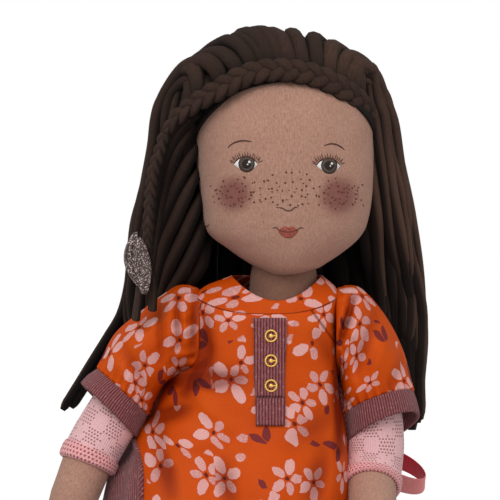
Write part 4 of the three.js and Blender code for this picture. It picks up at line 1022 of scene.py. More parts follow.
def sprigs():
    """Small printed sprigs on UV in metres. Each Voronoi cell has its own turn and kind: a blossom of
    five loose oval petals of uneven size round a small brown eye, or a pair of pointed leaves. A finer
    layer of single buds and leaves fills between. Puts out Petal, Tone, Leaf and Eye."""
    group, (vector,), sink = group_of("printed sprigs", ("Vector",), ("Petal", "Tone", "Leaf", "Eye"))
    shake = node(group, "ShaderNodeTexNoise", {"Vector": vector, "Scale": 420.0, "Detail": 1.0})["Color"]
    shake = place_calc("SCALE", place_calc("SUBTRACT", shake, (0.5, 0.5, 0.5)), 0.0013)
    place = place_calc("ADD", vector, shake)

    def oval(x, y, cx, cy, a, b, turned=0.0, pointed=False):
        """1 inside an oval or a pointed leaf at a place, with a narrow soft edge."""
        dx, dy = x - cx, y - cy
        c, s = math.cos(turned), math.sin(turned)
        px, py = (dx * c + dy * s) / a, (dy * c - dx * s) / b
        return between(px * px + (calc("ABSOLUTE", py) if pointed else py * py), 0.9, 1.1, 1, 0)

    def cells(scale, shift, randomness):
        """The distance and turn from the middle of each place's cell, and the cell's three chances."""
        moved = place_calc("ADD", place, (shift, shift * 0.7, 0))
        inputs = {"Vector": moved, "Scale": scale, "Randomness": randomness}
        cell = node(group, "ShaderNodeTexVoronoi", inputs, voronoi_dimensions="2D")
        x, y, _ = split(place_calc("SCALE", place_calc("SUBTRACT", moved, cell["Position"]), scale))
        chance = split(cell["Color"], "ShaderNodeSeparateColor")
        return calc("SQRT", x * x + y * y), calc("ARCTAN2", y, x) + chance[0] * (2 * pi), chance

    def flat(far, turn):
        """The two numbers of a place from its distance and turn."""
        return far * calc("COSINE", turn), far * calc("SINE", turn)

    far, turn, chance = cells(49.0, 0.0, 0.72)
    fifth = 2 * pi / 5
    part = calc("FLOORED_MODULO", turn, 2 * pi) / fifth
    number = calc("FLOOR", part)
    inside = (part - number - 0.5) * fifth
    seed = chance[1] * 91.7 + number * 7.31
    uneven = node(group, "ShaderNodeTexWhiteNoise", {"W": seed}, noise_dimensions="1D")["Value"]
    size = calc("MULTIPLY_ADD", uneven, 0.55, 0.72) * calc("MULTIPLY_ADD", chance[1], 0.3, 0.82)
    is_blossom = between(chance[2], 0.26, 0.27)
    shown = between(uneven, 0.10, 0.11)
    petal = oval(*flat(far / size, inside), 0.27, 0.0, 0.175, 0.112) * is_blossom * shown
    eye = between(far, 0.045, 0.06, 1, 0) * is_blossom
    x, y = flat(far, turn)
    is_leaf = 1.0 - is_blossom
    leaf = oval(x, calc("ABSOLUTE", y), 0.19, 0.14, 0.215, 0.105, 0.62, pointed=True) * is_leaf
    free = between(far, 0.50, 0.54) * is_blossom + between(far, 0.42, 0.46) * is_leaf

    far, turn, chance = cells(90.0, 0.37, 0.8)
    x, y = flat(far, turn)
    is_bud = between(chance[2], 0.48, 0.49)
    bud = oval(x, y, 0.0, 0.0, 0.26, 0.17) * is_bud * free
    slim = oval(x, y, 0.0, 0.0, 0.30, 0.15, pointed=True) * (between(chance[2], 0.24, 0.25) - is_bud) * free
    give(calc("MAXIMUM", petal, bud), sink["Petal"])
    give(uneven, sink["Tone"])
    give(calc("MAXIMUM", leaf, slim), sink["Leaf"])
    give(eye, sink["Eye"])
    return group


def printed_sateen():
    """Orange cotton sateen with the sprigs and a fine twill grain."""
    material, tree, shader = finish_of("printed orange sateen", 0.62, Specular_IOR_Level=0.14)
    uv = on_cloth(tree)
    sprig = node(tree, "ShaderNodeGroup", {"Vector": uv}, node_tree=sprigs())
    grain = noise(uv, 1600.0, 2.0)
    shade = calc("MULTIPLY_ADD", noise(uv, 45.0, 2.0) - 0.5, 0.8, grain, clamp=True)
    ground = blended(shade, colour(190, 62, 0), colour(214, 86, 2))
    pink = blended(sprig["Tone"], colour(200, 132, 126), colour(228, 170, 164))
    pink = blended(between(grain, 0.52, 0.72), pink, colour(236, 192, 186))
    base = blended(sprig["Petal"], ground, pink)
    base = blended(sprig["Leaf"], base, blended(grain, colour(104, 30, 32), colour(136, 50, 50)))
    base = blended(sprig["Eye"], base, colour(112, 34, 22))
    base = blended(mark(tree, "shaded"), base, colour(158, 122, 110), "MULTIPLY")
    base = blended(mark(tree, "seam"), base, colour(96, 24, 6))
    inputs = {"Vector": uv, "Scale": 560.0, "Distortion": 0.4}
    twill = node(tree, "ShaderNodeTexWave", inputs, bands_direction="DIAGONAL")
    surfaced(shader, base, twill["Fac"], 0.22, 0.0002)
    return material


def ribbed(name, dark, light, fleck, pitch, bump=0.7, slant=0.0):
    """Marl rib knit on UV in metres: raised ribs along V, painted lighter on their ridges and darker between
    them as painted light and shade, with lighter fibres twisted through.
    """
    material, tree, shader = finish_of(name, 0.93, Specular_IOR_Level=0.2, Sheen_Weight=0.15,
                                       Sheen_Roughness=0.5)
    uv = on_cloth(tree)
    x, y, _ = split(uv)
    wave = calc("COSINE", calc("MULTIPLY_ADD", y, slant, x) * (2 * pi / pitch))
    rib = calc("MULTIPLY_ADD", wave, 0.5, 0.5)
    loop = calc("SINE", y * (2 * pi / 0.0011))
    # painted light on the ribs' ridges and painted shade between them
    ridge = calc("MULTIPLY_ADD", rib, 0.85, 0.06)
    shade = calc("MULTIPLY_ADD", noise(uv, 1500.0, 2.0) - 0.5, 0.8, ridge, clamp=True)
    marl = noise(place_calc("MULTIPLY", uv, (1.0, 0.35, 1.0)), 1100.0, 1.0)
    twisted = between(marl, 0.5, 0.7) * calc("MULTIPLY_ADD", rib, 0.4, 0.08)
    base = blended(twisted, blended(shade, dark, light), fleck)
    base = blended(mark(tree, "seam"), base, colour(52, 18, 22))
    surfaced(shader, base, calc("MULTIPLY_ADD", loop, 0.16, rib), bump, 0.0006)
    return material


sateen = printed_sateen()
plum_rib = ribbed("plum marl rib", colour(80, 28, 32), colour(162, 94, 97), colour(198, 148, 146), 0.0015)
plum_knit = ribbed("plum marl knit", colour(82, 32, 36), colour(144, 80, 83), colour(190, 138, 136), 0.0012,
                   bump=0.5, slant=0.45)

# The front, cut by the raglan seams at the shoulders, with a groove at each
RAGLAN = ((20.5, 131.5, 34.8, 112), (-30.5, 140, -37, 124))
z = np.linspace(136.6, HEM_Z, 172)
share = np.linspace(0, 1, 261)[:, None]
grid = blouse_point(-front_seam(z, -1) * (1 - share) + front_seam(z, 1) * share, z)
off = [beside(grid[..., 0], grid[..., 2], seam)[1] for seam in RAGLAN]
groove = np.exp(-(np.minimum(*off) / 0.55) ** 2)
grid[..., 1] += 0.7 * groove
front = make("blouse_front_sateen", [quilt(grid, laid_flat(grid, centred=True))], sateen)
paint(front, "seam", 0.8 * groove)
in_folds, in_shadow = shading(grid, FRONT_FOLDS, 1.9), shading(grid, UNDER_SLEEVES, 2.4)
paint(front, "shaded", np.maximum(0.8 * in_folds, 1.2 * in_shadow))
walled(front, 1.2)
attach(front, "torso")
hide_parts("blouse_front")

# The neckline's facing goes all round; a dark line of topstitching runs along its lower edge
turn = circle(240)[:, None]
lip = blouse_point(turn, NECKLINE_Z + np.array([0, 0.5, 0.35, -0.6]), np.array([0.9, 0.55, 0.1, -0.25]))
outer = blouse_point(turn, NECKLINE_Z - (NECKLINE_Z - 136.4) * np.linspace(0, 1, 34)[3:], -0.25)
band = np.concatenate([blouse_point(turn, np.array([141.0, NECKLINE_Z - 1]), 1.1), lip, outer], 1)
uv = spread(np.linspace(0, 0.16, 241)[:, None], np.linspace(0.012, 0, band.shape[1]))
facing = make("neckline_facing", [quilt(band, uv, wrap=True)], sateen)
stitched = np.zeros(band.shape[:2])
stitched[:, -3:-1] = 1.0
paint(facing, "seam", stitched)
walled(facing, 0.6)
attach(facing, "torso")
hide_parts("neck_band")

z = np.linspace(141.7, HEM_Z, 150)
around = back_seam(z) + np.linspace(0, 1, 161)[:, None] * (2 * pi - 2 * back_seam(z))
grid = blouse_point(around, z)
back_piece = make("blouse_back_knit", [quilt(grid, laid_flat(grid, centred=True))], plum_rib)
walled(back_piece, 1.2)
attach(back_piece, "torso")
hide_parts("blouse_back")

z = np.linspace(93.4, HEM_Z, 110)
for side, name, width in ((-1, "right", 0.058), (1, "left", 0.036)):
    start = front_seam(z, side)
    around = side * (start + np.linspace(0, 1, 61)[:, None] * (back_seam(z) - start))
    grid = blouse_point(around, z)
    panel = make("side_panel_knit_" + name, [quilt(grid, laid_flat(grid))], plum_rib)
    walled(panel, 1.2)
    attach(panel, "torso")
    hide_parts("side_panel_" + name)
    path = blouse_point(side * start, z, -0.8)[:, None]
    chunks, _ = tubes(path, 1.3 * blunt(110), 1.3 * blunt(110), sides=14, core=(0, TRUNK_Y, 200))
    piping = make("seam_piping_" + name, chunks, plum_knit)
    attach(piping, "torso")
    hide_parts("piping_" + name)


def front_at(x, z, out):
    """A place on the blouse's front, some way out from its cloth."""
    left, right, _, _, shift, square = columns(BLOUSE_ROWS, z)
    share = np.abs(x - shift) / np.where(x > shift, left, right)
    angle = np.arcsin(np.clip(share, 0, 1) ** (1 / square)) * np.sign(x - shift)
    return spread(x, blouse_point(angle, z)[..., 1] - out, z)


# The placket: its lower end is a turned-up band, a little thicker and wider, above a sewn line.
# Its edges round down to the cloth.
PLACKET_TOP, PLACKET_LENGTH, BAND_SEAM = 126.4, 53.2, 87.2
u, v = np.linspace(-1, 1, 61)[:, None], np.linspace(0, 1, 121)
x = 0.7 + 0.2 * v + u * (8.4 - 1.4 * v) + 0.25 * np.sin(9 * v) * np.abs(u) ** 3
x, z = np.broadcast_arrays(x, PLACKET_TOP - PLACKET_LENGTH * v)
band = step(-z, -BAND_SEAM, 0.8 - BAND_SEAM)
sunk = np.exp(-((z - BAND_SEAM) / 0.5) ** 2)
from_edge = np.minimum(1, np.minimum((1 - np.abs(u)) * 61 / 8, (1 - np.abs(2 * v - 1)) * 121 / 8))
thick = (1.5 + 0.5 * band - 0.9 * sunk) * np.sqrt(np.clip(1 - (1 - from_edge) ** 2, 0, 1))
face = front_at(x * (1 + 0.03 * band), z, 0.5 + thick)
uv = spread(x * 0.001 + 0.0006 * band, z * 0.001)
placket = make("placket_knit", [quilt(face, uv)], plum_rib)
paint(placket, "seam", 0.7 * sunk)
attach(placket, "torso")
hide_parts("placket")

# Brass snap rings down the placket: a beaded ring, a stud in its middle and a short bar between.
brass, tree, shader = finish_of("polished brass", 0.32, Metallic=0.85)
worn = noise(in_object(tree), 900.0, 3.0)
give(blended(worn, colour(226, 168, 66), colour(255, 222, 130)), shader.inputs["Base Color"])
give(between(worn, 0.3, 0.7, 0.26, 0.42), shader.inputs["Roughness"])
TOP_RING, RING_GAP, RING_RADIUS, BEADS = 117.5, 12.3, 2.75, 22
a = circle(12)
bead = circle(BEADS * 8)[:, None]
thick = 0.5 * (0.72 + 0.28 * np.abs(np.sin(BEADS / 2 * bead)) ** 0.6)
reach = RING_RADIUS + thick * np.cos(a)
ring = spread(reach * np.cos(bead), -2.5 - thick * np.sin(a), reach * np.sin(bead))
dome = pi * np.linspace(0, 1, 12)
b = circle(24)[:, None]
stud = spread(1.15 * np.sin(dome) * np.cos(b), -2.3 + 0.75 * np.cos(dome), 1.15 * np.sin(dome) * np.sin(b))
bar = spread(np.linspace(0.8, 2.6, 6), -2.4 - 0.3 * np.sin(a)[:, None], 0.34 * np.cos(a)[:, None])
for k in range(3):
    middle = front_at(np.array(1.4), np.array(TOP_RING - RING_GAP * k), 0.0)
    button = make("brass_ring_%d" % (k + 1), [
        quilt(ring + middle, np.zeros((len(bead) + 1, 13, 2)), wrap=True, loop=True),
        quilt(stud + middle, np.zeros((25, 12, 2)), wrap=True),
        capped(bar + middle, np.zeros((13, 6, 2))),
    ], brass)
    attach(button, "torso")
    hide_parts("button_%d" % (k + 1))


# Section: stuffed body
# The body under the clothes is one stuffed jersey bag with a flat seat, sewn shut at the neck.
# [share of height, half width, front, back, shift]
TRUNK_ROWS = [
    [0, 0.9, 0.62, 0.7, 0], [0.035, 0.98, 0.9, 0.94, 0], [0.12, 1, 1, 1, 0], [0.3, 0.98, 1, 0.98, 0],
    [0.5, 0.96, 0.96, 0.94, 0], [0.75, 0.98, 0.9, 0.92, 0], [0.87, 1, 0.85, 0.9, 0],
    [0.95, 0.93, 0.76, 0.84, 0.5], [1, 0.7, 0.62, 0.66, 2.5],
]


def trunk_point(angle, share, grow=0.0):
    """The stuffed body by the angle round it and the share of its height."""
    wide, front, back, shift = columns(TRUNK_ROWS, share)
    seat = 10 * (1 - step(share, 0.1, 0.55))
    deep = np.where(np.sin(angle) < 0, front * 24, back * 24 + seat) + grow
    x = shift + powered(np.cos(angle), 0.8) * (wide * 33 + grow)
    return spread(x, TRUNK_Y + powered(np.sin(angle), 0.8) * deep, 1.8 - grow + (132.2 + grow) * share)


turn = circle(96)[:, None]
around = np.linspace(0, 0.2, 97)[:, None]
share = np.linspace(0, 1, 90)
body = trunk_point(turn, share)
uv = spread(around, share * 0.132)
trunk = make("trunk_stuffed", [capped(body, uv)], skin_jersey)
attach(trunk, "torso")
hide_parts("trunk")

# Plum knit shorts that fit the seat closely and end at the waist.
share = np.linspace(0, 0.335, 60)
body = trunk_point(turn, share, 1.8)
waist = trunk_point(turn, share[-1:], 0.4)
body = np.concatenate([body, body[:, -1:] + np.array([0, 0, 0.8]), waist], 1)
uv = spread(around, np.linspace(0, 0.05, 62))
shorts = make("shorts_knit", [quilt(body, uv, wrap=True, poles=(True, False))], plum_rib)
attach(shorts, "torso")
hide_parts("knit_shorts")


# Section: sleeves
# Puffed sateen sleeves gathered into the shoulder seams, with wide ribbed cuffs of plum marl.
# [upper outline out, up, lower outline out, up, half depth, forward]
SLEEVES = {
    "right": [[36, 141.3, 36, 98.5, 22.3, 0], [51.5, 136.8, 44.5, 96.4, 21.8, 0.4],
              [64.5, 127.6, 51, 92.4, 21.4, 1.1], [77.5, 116.6, 55.6, 86, 20.2, 2],
              [85.6, 100.8, 60, 77.4, 17.4, 2.9]],
    "left": [[35.8, 141.3, 35.8, 96.7, 22.3, 0], [50, 136, 35.9, 92.5, 21.6, 0.4],
             [61.5, 121.5, 36.3, 88, 21, 1.1], [69.3, 104.5, 37.2, 82.5, 20, 2],
             [73.2, 89, 38.4, 77.6, 18.2, 2.9]],
}
CUFFS = {
    "right": [[85.9, 100.3, 60.3, 76.9, 17.6, 3], [90.5, 97.2, 63, 71.4, 18.8, 3.3],
              [94, 93.5, 65.6, 65.8, 19.9, 3.6]],
    "left": [[73.4, 88.5, 39, 77.2, 18.3, 3], [75.2, 83, 39.5, 70.2, 19, 3.3],
             [76.5, 77, 40.2, 63, 19.6, 3.6]],
}


def hose(side, rows, share, turn, inside=0.0, raised=0.0):
    """A wide short tube drawn by its outline seen from the front: turn 0 is its upper line, and a
    quarter turn its front, which may be raised while the back hangs lower."""
    share, turn, inside, raised = np.broadcast_arrays(share, turn, inside, raised)
    table = [[i / (len(rows) - 1), *row] for i, row in enumerate(rows)]
    high_x, high, low_x, low, depth, forward = columns(table, share)
    up = np.stack([side * (high_x - low_x) / 2, 0 * high, (high - low) / 2], -1)
    long = np.linalg.norm(up, axis=-1, keepdims=True)
    middle = np.stack([side * (high_x + low_x) / 2, TRUNK_Y - forward, (high + low) / 2], -1)
    front = np.stack([0 * high, inside - depth, raised], -1)
    sine, cosine = np.sin(turn)[..., None], np.cos(turn)[..., None]
    return middle + up / long * (long - inside[..., None]) * cosine + front * sine


def creased(turn, share):
    """Gathers at both ends of a sleeve, and a few long soft folds between."""
    head = 1.3 * np.exp(-share / 0.2) * (0.6 * np.sin(13 * turn) + 0.5 * np.sin(21 * turn + 1.3))
    cuff = 0.7 * np.exp(-(1 - share) / 0.12) * np.sin(24 * turn + 0.5)
    long = 1.0 * np.sin(pi * share) * np.sin(5 * turn + 2.2 * share + 0.8)
    puff = 2.4 * np.exp(-((share - 0.14) / 0.1) ** 2) * np.clip(np.cos(turn), 0, 1)
    return -(head + cuff + long + puff) * np.clip(share / 0.05, 0, 1)


# Pleats and folds of the sleeves' fronts, as the blouse's folds are given
PLEATS = {
    "right": np.array([[-36, 140, -37.5, 108, 2.2, -3.0], [-42, 138, -41, 112, 2.0, 2.4],
                       [-46, 138, -44.5, 112, 1.8, -2.6], [-50, 136, -48.5, 108, 2.4, 2.0],
                       [-54.5, 132, -53, 104, 2.2, -1.8], [-40, 102, -47, 96, 3, -2.4],
                       [-66, 124, -56, 96, 5, 1.8], [-72, 112, -60, 90, 3.5, -1.7],
                       [-80, 108, -70, 96, 3, 1.2]]),
    "left": np.array([[43, 137, 35.5, 113, 2.0, -4.6], [38.5, 140, 36, 122, 2.0, 1.8],
                      [48.5, 135, 39.5, 112, 2.8, 2.4], [54.5, 130, 43, 98, 3.0, -2.0],
                      [61, 120, 50, 92, 4, 1.5], [67, 106, 60, 88, 3, -1.3],
                      [35.5, 108, 36.5, 84, 2.2, -2.6], [40.5, 104, 43, 84, 3, 1.2]]),
}
# How far the front of the sleeve's end and of the cuff's end is raised, in mm
RAISED = {"right": (1.5, 1.0), "left": (5.0, 2.2)}
SHOULDER = np.array([0, TRUNK_Y, 119.0])
turn = circle(240)[:, None]
around = np.linspace(0, 1, 241)[:, None]
for side, name, length, flat_length in ((-1, "right", 0.052, 0.044), (1, "left", 0.055, 0.040)):
    raised, raised_on = RAISED[name]
    share = np.linspace(0, 1, 120)
    grid = hose(side, SLEEVES[name], share, turn, creased(turn, share), raised * share)
    # The head is turned in against the blouse, and pleats run down from the shoulder
    head = grid[:, :1]
    spoke = (head - SHOULDER) * np.array([0, 1, 1])
    turned_in = ((1.9, 0.1), (1.4, 0.045), (0.7, 0.012))
    lips = [head - np.array([side * out, 0, 0]) - spoke * shrink for out, shrink in turned_in]
    grid = np.concatenate([*lips, grid], 1)
    facing_front = np.clip((TRUNK_Y - grid[..., 1]) / 12, 0, 1)
    shaded = 0.8 * facing_front * shading(grid, PLEATS[name], 2.8)
    grid[..., 1] -= facing_front * folded(grid[..., 0], grid[..., 2], PLEATS[name])
    # The end is tucked into the cuff
    end = grid[:, -1:]
    run_on = unit(end - grid[:, -4:-3])
    inwards = end.mean(0) - end
    grid = np.concatenate([grid, end + 0.5 * run_on + inwards * 0.05, end + 2.2 * run_on + inwards * 0.09], 1)
    shaded = np.concatenate([shaded, shaded[:, -1:], shaded[:, -1:]], 1)
    share = np.concatenate([[-0.05, -0.03, -0.015], share, [1.01, 1.03]])
    uv = spread(around * 0.13 + 0.21 * side, share * length)
    sleeve = make("sleeve_sateen_" + name, [quilt(grid, uv, wrap=True)], sateen)
    paint(sleeve, "shaded", shaded)
    walled(sleeve, 1.0)
    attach(sleeve, "upper_arm_" + name)
    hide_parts("sleeve_" + name)

    # The cuff runs out along its outer face, over its edge and back inside
    share = np.concatenate([np.linspace(0, 1, 30), [1.02, 1.03, 1.02], np.linspace(1, 0, 20)])
    inside = np.concatenate([np.zeros(30), [0.3, 1.0, 1.7], np.full(20, 2.0)])
    on = np.clip(share, 0, 1)
    grid = hose(side, CUFFS[name], on, turn, inside, raised + raised_on * on)
    grid = grid + (share - on)[:, None] * 24 * np.array([side * 0.55, 0, -0.8])
    uv = spread(around * 0.1305, np.linspace(0, 0.03, 54))
    cuff = make("cuff_rib_" + name, [quilt(grid, uv, wrap=True, loop=True)], plum_rib)
    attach(cuff, "upper_arm_" + name)
    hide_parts("cuff_" + name)


# Section: arms
# Stuffed jersey arms with a rounded hand and a sewn-on thumb. Undersleeves of pink pointelle knit
# reach past the elbows and end in a thick rolled hem with eyelets.
def swept(path, radius, sides=64):
    """Rings of a radius round a path, from the doll's left side of it, and their UV in metres."""
    path = np.asarray(path, float)
    ahead = unit(np.gradient(path, axis=0))
    first = unit(np.array([1.0, 0, 0]) - ahead * ahead[:, :1])
    second = np.cross(ahead, first)
    a = circle(sides)[:, None, None]
    radius = np.broadcast_to(radius, (sides, len(path)))[..., None]
    points = path + radius * (np.cos(a) * first + np.sin(a) * second)
    around = np.linspace(0, 2 * pi * radius.mean(), sides + 1)[:, None]
    return points, spread(around, run_along(path)) * 0.001


def rounded(x):
    """How full a rounded end is, as x goes from 0 where it starts to 1 at its tip."""
    return np.sqrt(np.clip(1 - x ** 2, 0.0004, 1))


def rolled_hem(path, outside, roll, inside):
    """One chunk: a ring of knit round a path, whose outer face swells by the roll in its middle."""
    t = np.linspace(0, 1, len(path))
    outer, uv = swept(path, outside + roll * np.sqrt(np.clip(1 - (2 * t - 1) ** 4, 0, 1)), 96)
    inner, _ = swept(path, inside, 96)
    uv = np.concatenate([uv, uv[:, ::-1], uv[:, :1]], 1)
    return quilt(np.concatenate([outer, inner[:, ::-1]], 1), uv, wrap=True, loop=True)


def pointelle():
    """Openwork knit on UV in metres: small staggered holes, in full diamonds with single lines between
    that repeat every 14 mm (Hole), and all over (Net). Puts out the wales' Rib and Shade too."""
    group, (vector,), sink = group_of("pointelle", ("Vector",), ("Hole", "Net", "Rib", "Shade"))
    pitch, fold = 0.0014, 5.0
    u, v, _ = split(vector)
    row = calc("FLOOR", v / pitch)
    shift = calc("FLOORED_MODULO", row, 2.0) * 0.5
    across = u / pitch + shift
    column = calc("FLOOR", across)
    x, y = across - column - 0.5, v / pitch - row - 0.5
    net = between(calc("SQRT", x * x + y * y), 0.2, 0.34, 1, 0)
    fold_u, fold_v = calc("PINGPONG", column + 0.5 - shift, fold), calc("PINGPONG", row, fold)
    diamonds = between(calc("ABSOLUTE", fold_u + fold_v - fold), 1.6, 1.9)
    line = between(calc("ABSOLUTE", fold_u - fold_v), 0.5, 0.8, 1, 0)
    hole = net * calc("MAXIMUM", diamonds, line)
    rib = calc("COSINE", u * (2 * pi / 0.001)) * 0.3 + calc("SINE", v * (2 * pi / 0.0009)) * 0.14
    ridge = calc("MULTIPLY_ADD", rib, 0.45, 0.5)
    give(hole, sink["Hole"])
    give(net, sink["Net"])
    give(rib - hole * 1.6, sink["Rib"])
    give(calc("MULTIPLY_ADD", noise(vector, 1700.0, 2.0) - 0.5, 1.1, ridge, clamp=True), sink["Shade"])
    return group


openwork = pointelle()


def pink_knit(name, dark, light, hole, holes="Hole", finer=1.0):
    """A material of pink pointelle knit; the holes show what is under the knit."""
    material, tree, shader = finish_of(name, 0.92, Specular_IOR_Level=0.2, Sheen_Weight=0.25,
                                       Sheen_Roughness=0.5)
    scaled = place_calc("MULTIPLY", on_cloth(tree), (finer, finer, finer))
    knit = node(tree, "ShaderNodeGroup", {"Vector": scaled}, node_tree=openwork)
    base = blended(knit[holes], blended(knit["Shade"], dark, light), hole)
    surfaced(shader, base, knit["Rib"], 0.6, 0.0005)
    return material


pink = pink_knit("pink pointelle", colour(216, 152, 154), colour(248, 200, 200), colour(164, 98, 98))
mauve = pink_knit("pale pink pointelle", colour(222, 164, 166), colour(250, 208, 210), colour(166, 106, 102),
                  finer=0.84)
rose = pink_knit("rose pointelle", colour(222, 144, 148), colour(252, 194, 194), colour(160, 84, 82),
                 holes="Net", finer=0.66)
# The arms' middle lines from the shoulder through the elbow to the tip of the hand
ARM_LINES = {
    "right": [[-46, -16, 119], [-55.6, -17.1, 106.2], [-65.2, -18.2, 93.5], [-76.8, -19.7, 78.1],
              [-88.1, -22.2, 58.9], [-95.5, -25.7, 40.6], [-107.8, -31.5, 10], [-111.3, -33.1, 1.4]],
    "left": [[46, -16, 119], [50.2, -17.3, 97], [53.4, -18.7, 77], [54.4, -19.8, 63],
             [53.4, -21.8, 51.5], [52.0, -27, 42.3], [51.8, -36.5, 34.8], [51.6, -48, 27.4],
             [48.6, -64.2, 11.2], [47.2, -70.7, 4.6]],
}
ELBOWS = {"right": np.array([-84.4, -20.5, 68.0]), "left": np.array([58.2, -20.5, 56.3])}
# [distance below the elbow, radius]
ARM_RADII = np.array([[-64, 11.2], [-54, 10], [-34, 10.2], [-16, 11.2], [-4, 12], [6, 12.4], [20, 12.4],
                      [36, 11.8], [50, 9.4], [58, 10], [63.5, 9.4]])
# Over what length the hand's tip and the top are rounded off, and where that starts at the top
TIP_LENGTH, TOP_END, TOP_LENGTH = 9.4, -52.4, 11.6
for side, name in ((-1, "right"), (1, "left")):
    bodies = ("upper_arm_" + name, "forearm_" + name)
    elbow = ELBOWS[name]
    curve = round_curve(ARM_LINES[name], 600)
    run = run_along(curve)
    run = run - run[np.argmin(np.linalg.norm(curve - elbow, axis=1))]
    places = np.linspace(run[0], run[-1], 150)
    path = sampled(curve, run, places)
    upper, fore = unit(elbow - path[0]), unit(path[-12] - elbow)
    radius = np.interp(places, *ARM_RADII.T)
    tip = np.clip((places - places[-1] + TIP_LENGTH) / TIP_LENGTH, 0, 1)
    top = np.clip((TOP_END - places) / TOP_LENGTH, 0, 1)
    for end in (tip, top):
        radius = radius * rounded(end)
    t = np.linspace(0, 1, 30)
    thumb = path[-18] + (-side * 2, -9.5, 2) + (t[:, None] - 0.5) * 15 * (fore * 0.9 + (0, -0.42, 0))
    parts = [capped(*swept(path, radius)), capped(*swept(thumb, 3.7 * rounded(2 * t - 1), 32))]
    arm = make("arm_stuffed_" + name, parts, skin_jersey)
    start, end = (tuple(place * 0.001) for place in (elbow - upper * 9, elbow + fore * 9))
    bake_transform(arm)
    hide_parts(*bodies)

    points, uv = swept(path[(places > -22) & (places < 12.5)], 14.1, 96)
    under = make("undersleeve_knit_" + name, [quilt(points, uv, wrap=True)], mauve)
    walled(under, 1.3)
    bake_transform(under)
    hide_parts("undersleeve_" + name)

    hem_path = path[(places > 8.5) & (places < 18.2)]
    hem_path = sampled(hem_path, np.arange(len(hem_path)), np.linspace(0, len(hem_path) - 1, 26))
    hem = make("undersleeve_rolled_hem_" + name, [rolled_hem(hem_path, 13.0, 2.2, 12.75)], rose)
    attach(hem, "forearm_" + name)
    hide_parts("undersleeve_hem_" + name)

# Section: ribbon bow
# A grosgrain ribbon tied in a bow at the back of the waist, coral outside and crimson inside.
BOW_Y, BOW_Z = 21.0, 60
ribbon, tree, shader = finish_of("coral ribbon", 0.5, Specular_IOR_Level=0.3)
uv = on_cloth(tree)
reed = calc("SINE", split(uv)[1] * (2 * pi / 0.0006))
speck = noise(uv, 900.0, 2.0)
outside = blended(speck, colour(244, 130, 130), colour(255, 168, 164))
inside = blended(speck, colour(206, 30, 52), colour(246, 66, 90))
surfaced(shader, blended(mark(tree, "underside"), outside, inside), reed, 0.35, 0.0002)


def ribbon_strip(path, wide, width, thick=0.9):
    """A flat ribbon along a path, whose width lies along wide, and a mark of 1 on its underside."""
    ahead = unit(np.gradient(path, axis=0))
    wide = unit(wide - ahead * (ahead * wide).sum(1)[:, None])
    out = np.cross(ahead, wide)
    a = circle(40)[:, None, None]
    half = np.reshape(width, (1, -1, 1)) / 2
    points = path + powered(np.cos(a), 0.5) * wide * half + powered(np.sin(a), 0.7) * out * thick / 2
    uv = spread(np.linspace(0, 0.02, 41)[:, None], run_along(path) * 0.001)
    below = np.repeat(np.sin(a[:, 0, 0]) < -0.02, len(path))
    return capped(points, uv), np.append(below, [0, 0])


t = np.linspace(0, 1, 120)
out = np.sin(pi * t)
# The loop leans: its front strand hangs below the back one, and both faces show from the front
apart = np.cos(pi * t)
leaning = spread(0, -0.75 * out, 1 - 0.35 * out)
loop_width = 12 * np.interp(t, [0, 0.12, 0.3, 0.7, 0.88, 1], [0.45, 0.75, 1, 1, 0.75, 0.45])
for side, name in ((-1, "right"), (1, "left")):
    path = spread(side * (5.3 + 76 * out ** 0.85), BOW_Y + 5 - (6 * out ** 0.7 + 0.95) * apart + 4.5 * out,
                  BOW_Z - 20 * out ** 1.4 - 13 * out ** 1.5 * apart)
    chunk, below = ribbon_strip(path, leaning, loop_width)
    loop = make("bow_loop_ribbon_" + name, [chunk], ribbon)
    paint(loop, "underside", 1 - below if side < 0 else below)
    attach(loop, "torso")
    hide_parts("bow_loop_" + name)
    path = spread(side * (4.6 + 9 * t), BOW_Y + 5 + 3 * np.sin(pi * t) + 9 * t, BOW_Z - 4 - 37 * t)
    chunk, below = ribbon_strip(path, np.array([1.0, 0, 0]), 10.0)
    tail = make("bow_tail_ribbon_" + name, [chunk], ribbon)
    paint(tail, "underside", below)
    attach(tail, "torso")
    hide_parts("bow_tail_" + name)
t = np.linspace(0, 1, 40)
path = spread(0.0, BOW_Y + 5.2, BOW_Z - 5.5 + 11 * t)
knot_chunk = capped(*swept(path, 5.2 * np.clip(1 - (2 * t - 1) ** 4, 0.001, 1) ** 0.4, 48))
knot = make("bow_knot_ribbon", [knot_chunk], ribbon)
paint(knot, "underside", np.zeros(len(knot_chunk[0])))
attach(knot, "torso")
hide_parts("bow_knot")

# Section: legs
# Stuffed jersey legs lie straight ahead. Pink pointelle leggings reach from the hips to below the
# knees and end in a rolled hem. The shoes are suede, with a strap and a rubber sole.
def grained(name, dark, light, roughness, scale, bump, sheen=0.0):
    """A mottled material with a fine grain, as suede or rubber has."""
    material, tree, shader = finish_of(name, roughness, Specular_IOR_Level=0.3, Sheen_Weight=sheen)
    place = in_object(tree)
    fine = noise(place, scale, 4.0)
    shade = calc("MULTIPLY_ADD", noise(place, scale / 14, 2.0) - 0.5, 0.9, fine, clamp=True)
    surfaced(shader, blended(shade, dark, light), fine, bump, 0.0003)
    return material


suede = grained("plum suede", colour(84, 40, 48), colour(134, 76, 82), 0.9, 1400.0, 0.5, 0.4)
rubber = grained("cream rubber", colour(196, 180, 158), colour(222, 208, 188), 0.6, 600.0, 0.2)
SPLAY = math.radians(3)
KNEE, ANKLE, FOOT_HEIGHT = 92, 178, 17
THIGH_RADIUS = 15.3
# [distance from the hip, radius]
LEG_RADII = np.array([[0, THIGH_RADIUS], [15, 14.6], [24, 13.3], [78, 12.9], [92, 12.4], [114, 12.6],
                      [142, 11.6], [178, 10.4]])
LEGGING_RADII = np.array([[23, 14.8], [78, 14.6], [92, 14.4], [114, 14.4], [144, 13.4]])
